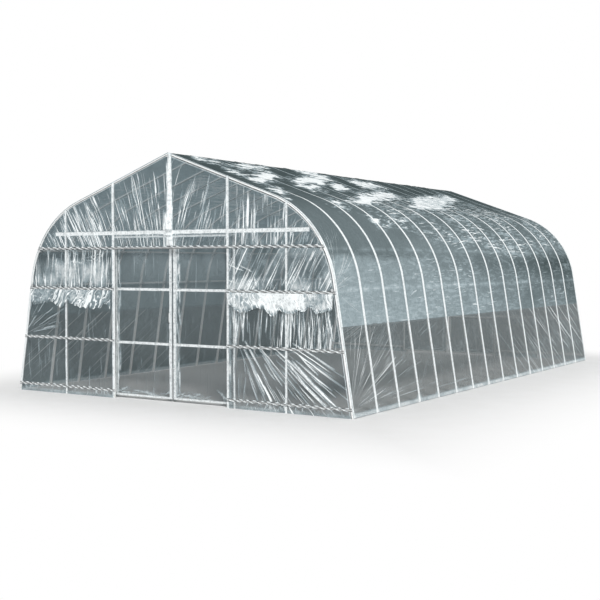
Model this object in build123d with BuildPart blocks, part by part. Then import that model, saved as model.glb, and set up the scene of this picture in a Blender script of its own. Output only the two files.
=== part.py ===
from build123d import *
from math import cos, radians, tan
import os

# Polytunnel greenhouse: bent pipe arches under a film cover, with a pair of hanging doors in each gable.
# Millimetres. +Z is up, +Y runs along the ridge to the rear, the origin is on the ground in the middle.

# Frame
SPAN = 4500.0  # outside of the legs at the ground
RIDGE_HEIGHT = 2650.0  # top of the arches at the peak
LENGTH = 7200.0  # between the middles of the first arch and the last
BAY_COUNT = 15  # spaces between arches
LEG_LEAN = 9.2  # degrees that a leg leans in
RAFTER_PITCH = 20.0  # degrees that a rafter rises
SHOULDER_RADIUS = 1100.0  # of the bend, to the middle of the pipe
PIPE = 22.2  # outside diameter of every pipe
BENT_SIDES = 6  # flats that stand for the round of a bent pipe, with its corners on the round
STRAIGHT_SIDES = 8  # flats that stand for the round of a post, a door pipe or a wheel
PURLIN_SIDES = 12  # flats that stand for the round of a purlin, with its corners on the round
PURLIN_SHARES = (0.32, 0.43)  # places of the side purlins along the half arch, from the foot

# Film
FILM = 2.0  # thickness of the solid that stands for the film
ROOF_FILM_EDGE = 870.0  # height of the roof film's hanging edges
SIDE_FILM_TOP = 1600.0  # height of the side film's upper edges

# Gables
OUTER_POST = 1490.0  # from the middle of the gable
JAMB = 775.0  # from the middle of the gable
LINTEL = 1650.0  # middle of the film channel over the doorway
SIDE_CHANNELS = (85.0, 635.0, 1200.0)  # middles of the film channels beside the doorway
CHANNEL_WIDTH = 30.0
CHANNEL_MOUTH = 18.0
CHANNEL_DEPTH = 10.0
CHANNEL_WALL = 1.5

# Doors
DOOR_SETBACK = 70.0  # from the middle of the posts to the middle of a leaf
LEAF_INNER = 30.0  # middle of a leaf's inner stile from the middle of the gable
LEAF_OUTER = 800.0  # middle of a leaf's outer stile from the middle of the gable
LEAF_RAILS = (36.0, 615.0, 1200.0, 1775.0)  # middles of a leaf's rails
HANGER_INSET = 150.0  # from a stile to the nearer hanger
RAIL_HALF = 1700.0  # half the length of a hanger rail
RAIL_BOTTOM = 1796.0
RAIL_HEIGHT = 38.0
RAIL_DEPTH = 30.0
RAIL_WALL = 2.0
RAIL_SLOT = 12.0
WHEEL = 22.0  # diameter of a hanger's wheels
WHEEL_WIDTH = 5.0
WHEEL_TRACK = 19.0  # between the middles of a hanger's wheels
AXLE = 8.0
STEM = 8.0
BRACKET_WIDTH = 40.0
BRACKET_PLATE = 3.0
HANDLE_HEIGHT = 900.0
HANDLE_LENGTH = 110.0
HANDLE_REACH = 28.0
HANDLE_BAR = 8.0

# Fits
SEAT = 0.3  # between pieces that bear on each other
OVERRUN = 60.0  # that a cutting shape runs past what it cuts

half_length = LENGTH / 2
bay = LENGTH / BAY_COUNT
half_pipe = PIPE / 2
lean = radians(LEG_LEAN)
pitch = radians(RAFTER_PITCH)
gable_face = half_length + half_pipe
door_plane = half_length - DOOR_SETBACK
flat_turn = 180 / STRAIGHT_SIDES

os.makedirs("parts", exist_ok=True)


def save(shape, node):
    """Label a finished piece and write it under its node's name."""
    shape.label = node
    export_step(shape, f"parts/{node}.step")


def pipe_section():
    """The section of a post or a door pipe, with a flat on each of its four sides."""
    return RegularPolygon(half_pipe, STRAIGHT_SIDES, major_radius=False, rotation=flat_turn)


def arch_corners(offset):
    """Foot, shoulder corner and peak of the pipe's middle line, moved outwards by an offset."""
    foot = SPAN / 2 + (offset - half_pipe) / cos(lean)
    peak = RIDGE_HEIGHT + (offset - half_pipe) / cos(pitch)
    corner_x = (foot - peak * tan(lean)) / (1 - tan(lean) * tan(pitch))
    return foot, (corner_x, peak - corner_x * tan(pitch)), peak


def arch_area(offset):
    """The area under the arch's line, moved outwards by an offset."""
    foot, corner, peak = arch_corners(offset)
    with BuildSketch() as area:
        with BuildLine():
            half = FilletPolyline((foot, 0), corner, (0, peak), radius=SHOULDER_RADIUS + offset)
            mirror(half, about=Plane.YZ)
            Line((-foot, 0), (foot, 0))
        make_face()
    return area.sketch


# Arches: one half is swept from below the ground to past the peak, trimmed, and mirrored.
foot_x, shoulder, peak_z = arch_corners(0)
start = (foot_x + OVERRUN * tan(lean), -OVERRUN)
finish = (-OVERRUN, peak_z + OVERRUN * tan(pitch))
with BuildPart() as arch:
    with BuildLine(Plane.XZ) as arch_line:
        FilletPolyline(start, shoulder, finish, radius=SHOULDER_RADIUS)
    with BuildSketch(Plane(origin=arch_line.line @ 0, x_dir=(0, 1, 0), z_dir=arch_line.line % 0)):
        RegularPolygon(half_pipe, BENT_SIDES, rotation=90)
    sweep()
    split(bisect_by=Plane.XY, keep=Keep.TOP)
    split(bisect_by=Plane.YZ, keep=Keep.TOP)
    mirror(about=Plane.YZ)

for number in range(BAY_COUNT + 1):
    with BuildPart() as placed_arch:
        with Locations((0, number * bay - half_length, 0)):
            add(arch.part)
    save(placed_arch.part, f"arch_{number + 1:02d}")

# Purlins: straight pipes clamped under the arches.
ridge_z = peak_z - (PIPE + SEAT) / cos(pitch)
with BuildPart() as ridge_purlin:
    with BuildSketch(Plane.XZ.offset(gable_face)):
        with Locations((0, ridge_z)):
            RegularPolygon(half_pipe, PURLIN_SIDES, rotation=RAFTER_PITCH)
    extrude(amount=-2 * gable_face)
save(ridge_purlin.part, "ridge_purlin")

with BuildLine(Plane.XZ) as half_arch:
    FilletPolyline((foot_x, 0), shoulder, (0, peak_z), radius=SHOULDER_RADIUS)
purlin_places = []
for share in PURLIN_SHARES:
    place = half_arch.line @ share
    run = half_arch.line % share
    purlin_places.append((place.X - run.Z * (PIPE + SEAT), place.Z + run.X * (PIPE + SEAT)))
with BuildPart() as right_purlins:
    with BuildSketch(Plane.XZ.offset(gable_face)):
        with Locations(*purlin_places):
            RegularPolygon(half_pipe, PURLIN_SIDES, rotation=LEG_LEAN)
    extrude(amount=-2 * gable_face)
save(right_purlins.part, "right_purlins")
with BuildPart() as left_purlins:
    mirror(right_purlins.part, about=Plane.YZ)
save(left_purlins.part, "left_purlins")

# Cover: the side films bear on the arches, and the roof film lies over both of them.
side_inside = half_pipe + SEAT
roof_inside = side_inside + FILM + SEAT
with BuildPart() as right_side_film:
    with BuildSketch(Plane.XZ.offset(gable_face)):
        add(arch_area(side_inside + FILM))
        add(arch_area(side_inside), mode=Mode.SUBTRACT)
        with Locations((SPAN / 2, SIDE_FILM_TOP / 2)):
            Rectangle(SPAN, SIDE_FILM_TOP, mode=Mode.INTERSECT)
    extrude(amount=-2 * gable_face)
save(right_side_film.part, "right_side_film")
with BuildPart() as left_side_film:
    mirror(right_side_film.part, about=Plane.YZ)
save(left_side_film.part, "left_side_film")

with BuildPart() as roof_film:
    with BuildSketch(Plane.XZ.offset(gable_face)):
        add(arch_area(roof_inside + FILM))
        add(arch_area(roof_inside), mode=Mode.SUBTRACT)
        with Locations((0, ROOF_FILM_EDGE + RIDGE_HEIGHT / 2)):
            Rectangle(2 * SPAN, RIDGE_HEIGHT, mode=Mode.INTERSECT)
    extrude(amount=-2 * gable_face)
save(roof_film.part, "roof_film")

# Front gable. Every piece is made here once and turned half round for the rear gable.
channel_back = gable_face + SEAT
with BuildPart() as posts:
    with BuildSketch():
        with Locations(*[(side * x, -half_length) for side in (-1, 1) for x in (JAMB, OUTER_POST)]):
            pipe_section()
    extrude(amount=RIDGE_HEIGHT)
    with BuildSketch(Plane.XZ.offset(gable_face + OVERRUN)):
        add(arch_area(-half_pipe - SEAT))
    extrude(amount=-PIPE - 2 * OVERRUN, mode=Mode.INTERSECT)
    centre_foot = LINTEL - CHANNEL_WIDTH / 2
    with BuildSketch(Plane.XY.offset(centre_foot)):
        with Locations((0, -half_length)):
            pipe_section()
    extrude(amount=ridge_z - half_pipe - SEAT - centre_foot)

half_width = CHANNEL_WIDTH / 2
half_mouth = CHANNEL_MOUTH / 2
doorway_top = LINTEL - CHANNEL_WIDTH / 2
doorway_half = JAMB - half_pipe
with BuildPart() as channels:
    for middle in (*SIDE_CHANNELS, LINTEL):
        with BuildSketch(Plane.YZ.offset(-SPAN / 2)):
            with Locations((-channel_back, middle)):
                Polygon(
                    (0, -half_width),
                    (0, half_width),
                    (-CHANNEL_DEPTH, half_mouth),
                    (-CHANNEL_DEPTH, -half_mouth),
                    align=None,
                )
                Polygon(
                    (-CHANNEL_WALL, -half_width + CHANNEL_WALL),
                    (-CHANNEL_WALL, half_width - CHANNEL_WALL),
                    (-CHANNEL_DEPTH, half_mouth - CHANNEL_WALL),
                    (-CHANNEL_DEPTH, -half_mouth + CHANNEL_WALL),
                    align=None,
                    mode=Mode.SUBTRACT,
                )
        extrude(amount=SPAN)
    with BuildSketch(Plane.XZ.offset(gable_face - OVERRUN)):
        add(arch_area(half_pipe))
        with Locations((0, doorway_top / 2)):
            Rectangle(2 * doorway_half, doorway_top, mode=Mode.SUBTRACT)
    extrude(amount=2 * OVERRUN + CHANNEL_DEPTH, mode=Mode.INTERSECT)

with BuildPart() as gable_film:
    with BuildSketch(Plane.XZ.offset(channel_back)):
        add(arch_area(half_pipe))
        with Locations((0, doorway_top / 2)):
            Rectangle(2 * doorway_half, doorway_top, mode=Mode.SUBTRACT)
        with Locations(*[(0, middle) for middle in (*SIDE_CHANNELS, LINTEL)]):
            Rectangle(2 * SPAN, CHANNEL_WIDTH + 2 * SEAT, mode=Mode.SUBTRACT)
    extrude(amount=FILM)

rail_middle = RAIL_BOTTOM + RAIL_HEIGHT / 2
with BuildPart() as door_rail:
    with BuildSketch(Plane.YZ.offset(-RAIL_HALF)):
        with Locations((-door_plane, rail_middle)):
            Rectangle(RAIL_DEPTH, RAIL_HEIGHT)
            Rectangle(RAIL_DEPTH - 2 * RAIL_WALL, RAIL_HEIGHT - 2 * RAIL_WALL, mode=Mode.SUBTRACT)
        with Locations((-door_plane, RAIL_BOTTOM)):
            Rectangle(RAIL_SLOT, RAIL_HEIGHT, mode=Mode.SUBTRACT)
    extrude(amount=2 * RAIL_HALF)

bracket_back = half_length - half_pipe - SEAT
bracket_front = door_plane + RAIL_DEPTH / 2
bracket_depth = bracket_back - bracket_front
bracket_middle = (bracket_back + bracket_front) / 2
with BuildPart() as rail_brackets:
    for x in (-OUTER_POST, -JAMB, 0, JAMB, OUTER_POST):
        with BuildSketch(Plane.YZ.offset(x - BRACKET_WIDTH / 2)):
            with Locations((-bracket_middle, rail_middle)):
                Rectangle(bracket_depth, RAIL_HEIGHT)
            with Locations((-bracket_middle, rail_middle - BRACKET_PLATE)):
                Rectangle(bracket_depth - 2 * BRACKET_PLATE, RAIL_HEIGHT, mode=Mode.SUBTRACT)
        extrude(amount=BRACKET_WIDTH)

# A door leaf: the right-hand one is made, and mirrored for the left-hand one.
leaf_width = LEAF_OUTER - LEAF_INNER
leaf_bottom = LEAF_RAILS[0] - half_pipe
leaf_top = LEAF_RAILS[-1] + half_pipe
leaf_front = door_plane + half_pipe
with BuildPart() as leaf_frame:
    with BuildSketch(Plane.XY.offset(leaf_bottom)):
        with Locations((LEAF_INNER, -door_plane), (LEAF_OUTER, -door_plane)):
            pipe_section()
    extrude(amount=leaf_top - leaf_bottom)
    with BuildSketch(Plane.YZ.offset(LEAF_INNER)):
        with Locations(*[(-door_plane, height) for height in LEAF_RAILS]):
            pipe_section()
    extrude(amount=leaf_width)
    with BuildSketch(Plane.YZ.offset(LEAF_INNER - HANDLE_BAR / 2)):
        with Locations((-leaf_front - HANDLE_REACH / 2, HANDLE_HEIGHT)):
            Rectangle(HANDLE_REACH, HANDLE_LENGTH)
        with Locations((-leaf_front - HANDLE_REACH / 2 + HANDLE_BAR, HANDLE_HEIGHT)):
            Rectangle(HANDLE_REACH, HANDLE_LENGTH - 2 * HANDLE_BAR, mode=Mode.SUBTRACT)
    extrude(amount=HANDLE_BAR)

film_inner = LEAF_INNER + HANDLE_BAR / 2 + SEAT
with BuildPart() as leaf_film:
    with BuildSketch(Plane.XZ.offset(leaf_front + SEAT)):
        with Locations(((film_inner + LEAF_OUTER) / 2, (LEAF_RAILS[0] + LEAF_RAILS[-1]) / 2)):
            Rectangle(LEAF_OUTER - film_inner, LEAF_RAILS[-1] - LEAF_RAILS[0])
    extrude(amount=FILM)

axle_z = RAIL_BOTTOM + RAIL_WALL + SEAT + WHEEL / 2
track_faces = WHEEL_TRACK + WHEEL_WIDTH
with BuildPart() as leaf_hangers:
    for x in (LEAF_INNER + HANGER_INSET, LEAF_OUTER - HANGER_INSET):
        with BuildSketch(Plane.XZ.offset(door_plane + track_faces / 2)):
            with Locations((x, axle_z)):
                RegularPolygon(WHEEL / 2, STRAIGHT_SIDES, major_radius=False, rotation=flat_turn)
        extrude(amount=-WHEEL_WIDTH)
        with BuildSketch(Plane.XZ.offset(door_plane - track_faces / 2)):
            with Locations((x, axle_z)):
                RegularPolygon(WHEEL / 2, STRAIGHT_SIDES, major_radius=False, rotation=flat_turn)
        extrude(amount=WHEEL_WIDTH)
        with BuildSketch(Plane.XZ.offset(door_plane + track_faces / 2)):
            with Locations((x, axle_z)):
                Rectangle(AXLE, AXLE)
        extrude(amount=-track_faces)
        with BuildSketch(Plane.XY.offset(leaf_top)):
            with Locations((x, -door_plane)):
                Rectangle(STEM, STEM)
        extrude(amount=axle_z - leaf_top)

with BuildPart() as left_leaf_frame:
    mirror(leaf_frame.part, about=Plane.YZ)
with BuildPart() as left_leaf_film:
    mirror(leaf_film.part, about=Plane.YZ)
with BuildPart() as left_leaf_hangers:
    mirror(leaf_hangers.part, about=Plane.YZ)

gable_pieces = {
    "posts": posts.part,
    "film_channels": channels.part,
    "gable_film": gable_film.part,
    "door_rail": door_rail.part,
    "rail_brackets": rail_brackets.part,
    "right_door_frame": leaf_frame.part,
    "right_door_film": leaf_film.part,
    "right_door_hangers": leaf_hangers.part,
    "left_door_frame": left_leaf_frame.part,
    "left_door_film": left_leaf_film.part,
    "left_door_hangers": left_leaf_hangers.part,
}
for end, turn in (("front", 0), ("rear", 180)):
    for piece, shape in gable_pieces.items():
        with BuildPart() as placed_piece:
            add(shape, rotation=(0, 0, turn))
        save(placed_piece.part, f"{end}_{piece}")
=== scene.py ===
"""Polytunnel greenhouse: pipes, film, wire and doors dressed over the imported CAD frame."""
import logging
from dataclasses import dataclass
from enum import Enum
from functools import cached_property, reduce
from math import atan2, ceil, cos, pi, radians, sin, sqrt, tan

import bpy
import numpy as np
from mathutils import Matrix, Vector


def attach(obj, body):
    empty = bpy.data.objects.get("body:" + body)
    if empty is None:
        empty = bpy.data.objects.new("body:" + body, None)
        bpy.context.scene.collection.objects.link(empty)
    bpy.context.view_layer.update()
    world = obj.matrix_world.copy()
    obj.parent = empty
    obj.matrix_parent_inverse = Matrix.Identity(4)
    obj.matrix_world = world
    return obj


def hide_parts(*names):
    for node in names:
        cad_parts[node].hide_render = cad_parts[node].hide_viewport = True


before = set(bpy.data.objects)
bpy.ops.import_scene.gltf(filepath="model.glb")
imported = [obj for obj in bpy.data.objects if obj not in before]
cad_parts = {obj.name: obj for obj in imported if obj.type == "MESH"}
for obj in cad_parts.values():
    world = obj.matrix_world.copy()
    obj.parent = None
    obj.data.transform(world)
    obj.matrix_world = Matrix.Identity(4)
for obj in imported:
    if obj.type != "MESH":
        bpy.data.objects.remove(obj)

LOG = logging.getLogger("polytunnel")
Piece = bpy.types.Object
Material = bpy.types.Material
Socket = bpy.types.NodeSocket
Field = np.ndarray
HALF_TURN = Matrix.Rotation(pi, 4, "Z")
MIRROR = Matrix.Scale(-1, 4, (1, 0, 0))
WHITE = (1.0, 1.0, 1.0, 1.0)
WELD = 0.00002


class End(Enum):
    """The two gable ends."""

    FRONT = "front"
    REAR = "rear"

    @property
    def turn(self) -> float:
        """Sign that X and Y take when the front is turned round to this end."""
        return 1.0 if self is End.FRONT else -1.0


class Side(Enum):
    """The two sides of the tunnel or a gable, as seen from the front."""

    LEFT = "left"
    RIGHT = "right"

    @property
    def sign(self) -> float:
        """Sign of X on this side of the front gable."""
        return 1.0 if self is Side.RIGHT else -1.0


class Panel(Enum):
    """The three film sheets of a gable."""

    TOP = "top"
    LEFT = "left"
    RIGHT = "right"


# ---------------------------------------------------------------- modelling helpers


def clear_selection() -> None:
    """Leaves object mode with nothing selected."""
    if bpy.context.object is not None and bpy.context.object.mode != "OBJECT":
        bpy.ops.object.mode_set(mode="OBJECT")
    bpy.ops.object.select_all(action="DESELECT")


def settle(name: str) -> Piece:
    """Names the active object and moves its place into its mesh.

    Args:
        name: the piece's name.

    Returns:
        The object, at the origin, unturned and unscaled.
    """
    piece = bpy.context.object
    piece.name = name
    piece.data.name = name
    bpy.ops.object.transform_apply(location=True, rotation=True, scale=True)
    return piece


def pipe_start(name: str, radius: float, sides: int, place: tuple, tilt: tuple = (0, 0, 0)) -> Piece:
    """Adds the filled ring that a pipe is extruded from and opens it for editing.

    Args:
        name: the piece's name.
        radius: the pipe's outer radius.
        sides: facets round the pipe.
        place: centre of the ring.
        tilt: turn of the ring, whose axis starts along Z.

    Returns:
        The object, in edit mode with the ring selected.
    """
    clear_selection()
    bpy.ops.mesh.primitive_circle_add(
        vertices=sides, radius=radius, fill_type="NGON", location=place, rotation=tilt
    )
    piece = settle(name)
    bpy.ops.object.mode_set(mode="EDIT")
    bpy.ops.mesh.select_all(action="SELECT")
    return piece


def run_on(*ways: tuple) -> None:
    """Extrudes the selected ring along one vector after another."""
    for way in ways:
        bpy.ops.mesh.extrude_region_move(TRANSFORM_OT_translate={"value": way})


def cut(place: tuple, way: tuple, keep_ahead: bool = False, fill: bool = True) -> None:
    """Cuts the piece that is being edited along a plane and drops one side.

    Args:
        place: a point of the plane.
        way: the plane's normal.
        keep_ahead: keeps what the normal points to, in place of what lies behind it.
        fill: closes the cut.
    """
    bpy.ops.mesh.select_all(action="SELECT")
    bpy.ops.mesh.bisect(
        plane_co=place, plane_no=way, use_fill=fill, clear_inner=keep_ahead, clear_outer=not keep_ahead
    )


def modified(piece: Piece, kind: str, **values: object) -> None:
    """Leaves edit mode, applies one modifier and goes back to editing.

    Args:
        piece: the active piece.
        kind: the modifier's type.
        **values: its settings.
    """
    bpy.ops.object.mode_set(mode="OBJECT")
    modifier = piece.modifiers.new(kind.lower(), kind)
    for key, value in values.items():
        setattr(modifier, key, value)
    bpy.ops.object.modifier_apply(modifier=modifier.name)
    bpy.ops.object.mode_set(mode="EDIT")


def close_edit(angle: float = 40.0) -> Piece:
    """Turns the normals outwards, leaves edit mode and smooths the round faces.

    Args:
        angle: edges sharper than this, in degrees, stay hard.

    Returns:
        The finished object.
    """
    bpy.ops.mesh.select_all(action="SELECT")
    bpy.ops.mesh.remove_doubles(threshold=WELD)
    bpy.ops.mesh.normals_make_consistent(inside=False)
    bpy.ops.object.mode_set(mode="OBJECT")
    bpy.ops.object.shade_smooth_by_angle(angle=radians(angle))
    return bpy.context.object


def copied(piece: Piece, name: str, place: Matrix) -> Piece:
    """Copies a piece with its own mesh and moves that mesh.

    Args:
        piece: the modelled piece.
        name: the copy's name.
        place: where the copy goes from the piece's own place.

    Returns:
        The copy, at the origin.
    """
    twin = piece.copy()
    twin.data = piece.data.copy()
    twin.name = name
    twin.data.name = name
    twin.data.transform(place)
    if place.determinant() < 0:
        twin.data.flip_normals()
    bpy.context.collection.objects.link(twin)
    return twin


def joined(name: str, pieces: list) -> Piece:
    """Joins several objects into one.

    Args:
        name: the joined piece's name.
        pieces: the objects, the first of which keeps the mesh.

    Returns:
        The joined object.
    """
    clear_selection()
    for piece in pieces:
        piece.select_set(True)
    bpy.context.view_layer.objects.active = pieces[0]
    bpy.ops.object.join()
    return settle(name)


def paint(piece: Piece, material: Material) -> None:
    """Gives a piece, or a CAD node, one material all over.

    Args:
        piece: the piece or node.
        material: its finish.
    """
    if not piece.data.materials:
        piece.data.materials.append(material)
    for slot in piece.material_slots:
        slot.material = material


def declare(piece: Piece, body: str, node: str = "") -> None:
    """Says what a finished piece rides on and stands for, and logs it.

    Args:
        piece: the finished piece.
        body: the body that carries it.
        node: the CAD node that it stands for, if there is one.
    """
    if node:
        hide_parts(node)
    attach(piece, body)
    LOG.info("%s: %d triangles", piece.name, sum(len(p.vertices) - 2 for p in piece.data.polygons))


# ---------------------------------------------------------------- node helper and finishes


@dataclass(frozen=True)
class Noise:
    """A noise's settings: patches to a metre, octaves, their strength, warp and stretch."""

    scale: float
    detail: float = 3.0
    rough: float = 0.55
    bend: float = 0.0
    stretch: tuple = (1, 1, 1)


class Nodes:
    """The node tree of a material or a world, written in short steps."""

    def __init__(self, owner: bpy.types.ID) -> None:
        """Empties the owner's tree.

        Args:
            owner: the material or world.
        """
        owner.use_nodes = True
        self.owner = owner
        self.tree = owner.node_tree
        self.tree.nodes.clear()

    @classmethod
    def named(cls, name: str) -> "Nodes":
        """Starts a new material of that name."""
        return cls(bpy.data.materials.new(name))

    @cached_property
    def place(self) -> Socket:
        """The object's own coordinates."""
        return self.add("ShaderNodeTexCoord").outputs["Object"]

    def add(self, kind: str, feeds: dict | None = None, **values: object) -> bpy.types.Node:
        """Adds a node.

        Args:
            kind: the node's type.
            feeds: sockets or plain values, by the input's name or number.
            **values: plain properties by name.

        Returns:
            The node.
        """
        node = self.tree.nodes.new(kind)
        for key, value in values.items():
            setattr(node, key, value)
        for key, value in (feeds or {}).items():
            if isinstance(value, Socket):
                self.tree.links.new(value, node.inputs[key])
            else:
                node.inputs[key].default_value = value
        return node

    def mark(self, name: str, output: str = "Fac") -> Socket:
        """Reads one of the mesh's own attributes."""
        return self.add("ShaderNodeAttribute", attribute_name=name).outputs[output]

    def axes(self, vector: Socket) -> bpy.types.NodeOutputs:
        """Splits a vector into X, Y and Z."""
        return self.add("ShaderNodeSeparateXYZ", {0: vector}).outputs

    def math(self, how: str, a: object, b: object = 0.0, clamp: bool = False) -> Socket:
        """Adds one sum of two sockets or values, kept from 0 to 1 on request."""
        return self.add("ShaderNodeMath", {0: a, 1: b}, operation=how, use_clamp=clamp).outputs[0]

    def plus(self, a: object, b: object, clamp: bool = False) -> Socket:
        """Adds two values."""
        return self.math("ADD", a, b, clamp)

    def less(self, a: object, b: object) -> Socket:
        """Takes the second value from the first."""
        return self.math("SUBTRACT", a, b)

    def times(self, a: object, b: object, clamp: bool = False) -> Socket:
        """Multiplies two values."""
        return self.math("MULTIPLY", a, b, clamp)

    def most(self, a: object, b: object) -> Socket:
        """The higher of two values."""
        return self.math("MAXIMUM", a, b)

    def rest(self, a: object, share: object = 1.0) -> Socket:
        """What a share of a value leaves of 1."""
        return self.less(1.0, self.times(a, share))

    def ramp(self, value: object, *ends: float) -> Socket:
        """Maps a range smoothly, by its two ends and the results there if they aren't 0 and 1."""
        feeds = dict(enumerate((value, *ends)))
        return self.add("ShaderNodeMapRange", feeds, interpolation_type="SMOOTHSTEP").outputs[0]

    def noise(self, kind: Noise, place: Socket | None = None) -> Socket:
        """Adds a noise, on the object's own coordinates unless others are given.

        Args:
            kind: its settings.
            place: other coordinates to lie on.

        Returns:
            The noise's value socket, about 0.5.
        """
        at = self.place if place is None else place
        lay = self.add("ShaderNodeMapping", {"Scale": kind.stretch, "Vector": at})
        feeds = {"Vector": lay.outputs[0], "Scale": kind.scale, "Detail": kind.detail}
        feeds.update({"Roughness": kind.rough, "Distortion": kind.bend})
        return self.add("ShaderNodeTexNoise", feeds).outputs["Fac"]

    def blend(self, share: object, first: object, second: object) -> Socket:
        """Mixes two colours, by the share of the second."""
        return self.add("ShaderNodeMix", {0: share, 6: first, 7: second}, data_type="RGBA").outputs[2]

    def bump(self, height: Socket, depth: float, strength: float = 1.0) -> Socket:
        """Adds a bump of a depth in metres and returns its normal."""
        feeds = {"Strength": strength, "Distance": depth, "Height": height}
        return self.add("ShaderNodeBump", feeds).outputs[0]

    def glow(self, kind: str, colour: tuple, strength: float) -> Socket:
        """Adds an even light of its own."""
        return self.add(kind, {"Color": colour, "Strength": strength}).outputs[0]

    def mixed(self, share: Socket, first: Socket, second: Socket) -> Socket:
        """Mixes two shaders, by the share of the second."""
        return self.add("ShaderNodeMixShader", {0: share, 1: first, 2: second}).outputs[0]

    def seen(self) -> Socket:
        """1 for the camera, gloss and glass rays that see the backdrop as white, and 0 for the rest."""
        path = self.add("ShaderNodeLightPath").outputs
        return self.most(self.most(path["Is Camera Ray"], path["Is Glossy Ray"]), path["Is Transmission Ray"])

    def close(self, shader: Socket, kind: str = "Material") -> bpy.types.ID:
        """Links a shader to the tree's output and returns the tree's owner."""
        self.add(f"ShaderNodeOutput{kind}", {0: shader})
        return self.owner

    def surface(self, **values: object) -> Material:
        """Closes the tree with a Principled shader, fed by its socket names with _ for a space."""
        feeds = {key.replace("_", " "): value for key, value in values.items()}
        return self.close(self.add("ShaderNodeBsdfPrincipled", feeds).outputs[0])


@dataclass(frozen=True)
class FilmFinish:
    """Clear polythene: a smoky see-through sheet, whitened along its creases with painted glints, nearly
    opaque inside and lighter there in a painted colour for daylight through it.
    """

    name: str
    tint: tuple = (0.155, 0.205, 0.228, 1.0)
    # lighter colour of the inside face: painted light, standing in for daylight shining through the film
    inside: tuple = (0.235, 0.300, 0.326, 1.0)
    # whites of the creases, faint to full: real whitening together with painted glints
    mist: tuple = (0.74, 0.89, 0.96, 1.0)
    crease: tuple = (0.90, 0.945, 0.96, 1.0)
    edge_blend: float = 0.5
    facing: float = 0.13  # cover where it is seen square on
    grazing: float = 0.34  # what a flat view adds to it
    inner: float = 0.96  # cover of the inside
    lets_in: float = 0.88  # share of the inside's cover that light passes
    thin: float = 0.60  # share of the outside's cover that light passes
    crease_cover: float = 0.97
    pipe_clear: float = 0.95  # share of the cover that goes where it lies tight on a pipe
    cloud: float = 0.10
    cloud_noise: Noise = Noise(3.0, 5.0, 0.62, 0.8)
    cloud_range: tuple = (0.56, 0.80)
    ripple_noise: Noise = Noise(27.0, 3.0, 0.6, 0.6, (1.0, 0.23, 1.1))
    ripple_range: tuple = (0.49, 0.58)
    bold_noise: Noise = Noise(1.0, 3.0, 0.62, 0.08, (40.0, 1.1, 1))
    bold_range: tuple = (0.60, 0.64)
    fine_noise: Noise = Noise(1.0, 2.0, 0.6, 0.04, (72.0, 1.9, 1))
    fine_range: tuple = (0.62, 0.67, 0.0, 0.85)
    comb_even: float = 0.62  # streakiness that leaves the lines as the noise has them
    comb_gain: float = 0.11
    comb_cover: float = 1.4
    crinkle_noise: Noise = Noise(38.0, 4.0, 0.6, 0.6)
    crinkle_depth: float = 0.004
    broken_range: tuple = (0.30, 0.58, 0.74, 1.0)
    sway_noise: Noise = Noise(9.0, 2.0)
    sway: float = 3.0
    mist_range: tuple = (0.35, 0.8)
    roughness: tuple = (0.24, 0.44)
    rough_range: tuple = (0.2, 0.8)
    gloss: float = 0.12
    bending: float = 1.45

    def whiteness(self, made: Nodes, fine: Socket) -> Socket:
        """Adds up what whitens the film: creases, whitened and with painted glints, ripples with painted
        highlights where they catch the light, and faint clouding.

        Args:
            made: the tree that it goes into.
            fine: the fine crinkle noise.

        Returns:
            A socket from 0, clear, to 1, white.
        """
        cloud = made.ramp(made.noise(self.cloud_noise), *self.cloud_range)
        crest_glint = made.ramp(made.noise(self.ripple_noise), *self.ripple_range)
        haze_and_glint = made.times(made.mark("haze_and_glint"), made.ramp(fine, *self.broken_range))
        total = made.plus(haze_and_glint, made.times(cloud, self.cloud))
        total = made.plus(total, made.times(made.mark("shine"), crest_glint))
        return made.plus(total, self.streaks(made), clamp=True)

    def streaks(self, made: Nodes) -> Socket:
        """Draws painted highlights: fine bright lines the way the film is pulled, from the sheet's own lay.

        Args:
            made: the tree that it goes into.

        Returns:
            A socket from 0 to 1.
        """
        lay, comb = made.mark("lay", "Vector"), made.mark("comb")
        more = made.times(made.less(comb, self.comb_even), self.comb_gain)
        bold = made.ramp(made.plus(made.noise(self.bold_noise, lay), more), *self.bold_range)
        fine = made.ramp(made.plus(made.noise(self.fine_noise, lay), more), *self.fine_range)
        return made.times(made.most(bold, fine), made.times(comb, self.comb_cover, clamp=True))

    def cover(self, made: Nodes, white: Socket, back: Socket) -> Socket:
        """Works out how much the film hides, less for light rays so that the inside is lit.

        Args:
            made: the tree that it goes into.
            white: its whiteness.
            back: 1 on its inside.

        Returns:
            A socket from 0 to 1.
        """
        flat = made.add("ShaderNodeLayerWeight", {"Blend": self.edge_blend}).outputs["Facing"]
        lit = made.add("ShaderNodeLightPath").outputs["Is Shadow Ray"]
        outer = made.plus(made.times(flat, self.grazing), self.facing, clamp=True)
        outer = made.times(outer, made.rest(lit, self.thin))
        step = made.most(made.less(self.inner, outer), 0.0)
        total = made.plus(outer, made.times(step, made.times(back, made.rest(lit, self.lets_in))), clamp=True)
        gain = made.times(made.less(self.crease_cover, total), white)
        total = made.plus(total, made.most(gain, 0.0), clamp=True)
        return made.times(total, made.rest(made.mark("clear"), self.pipe_clear), clamp=True)

    def material(self) -> Material:
        """Builds the film, whose creases with their painted glints and whose painted pipe highlights come
        from the sheet's own attributes.

        Returns:
            The material.
        """
        made = Nodes.named(self.name)
        fine = made.noise(self.crinkle_noise)
        white = self.whiteness(made, fine)
        back = made.add("ShaderNodeNewGeometry").outputs["Backfacing"]
        bright = made.blend(made.ramp(white, *self.mist_range), self.mist, self.crease)
        relief = made.plus(fine, made.times(made.noise(self.sway_noise), self.sway))
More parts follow.
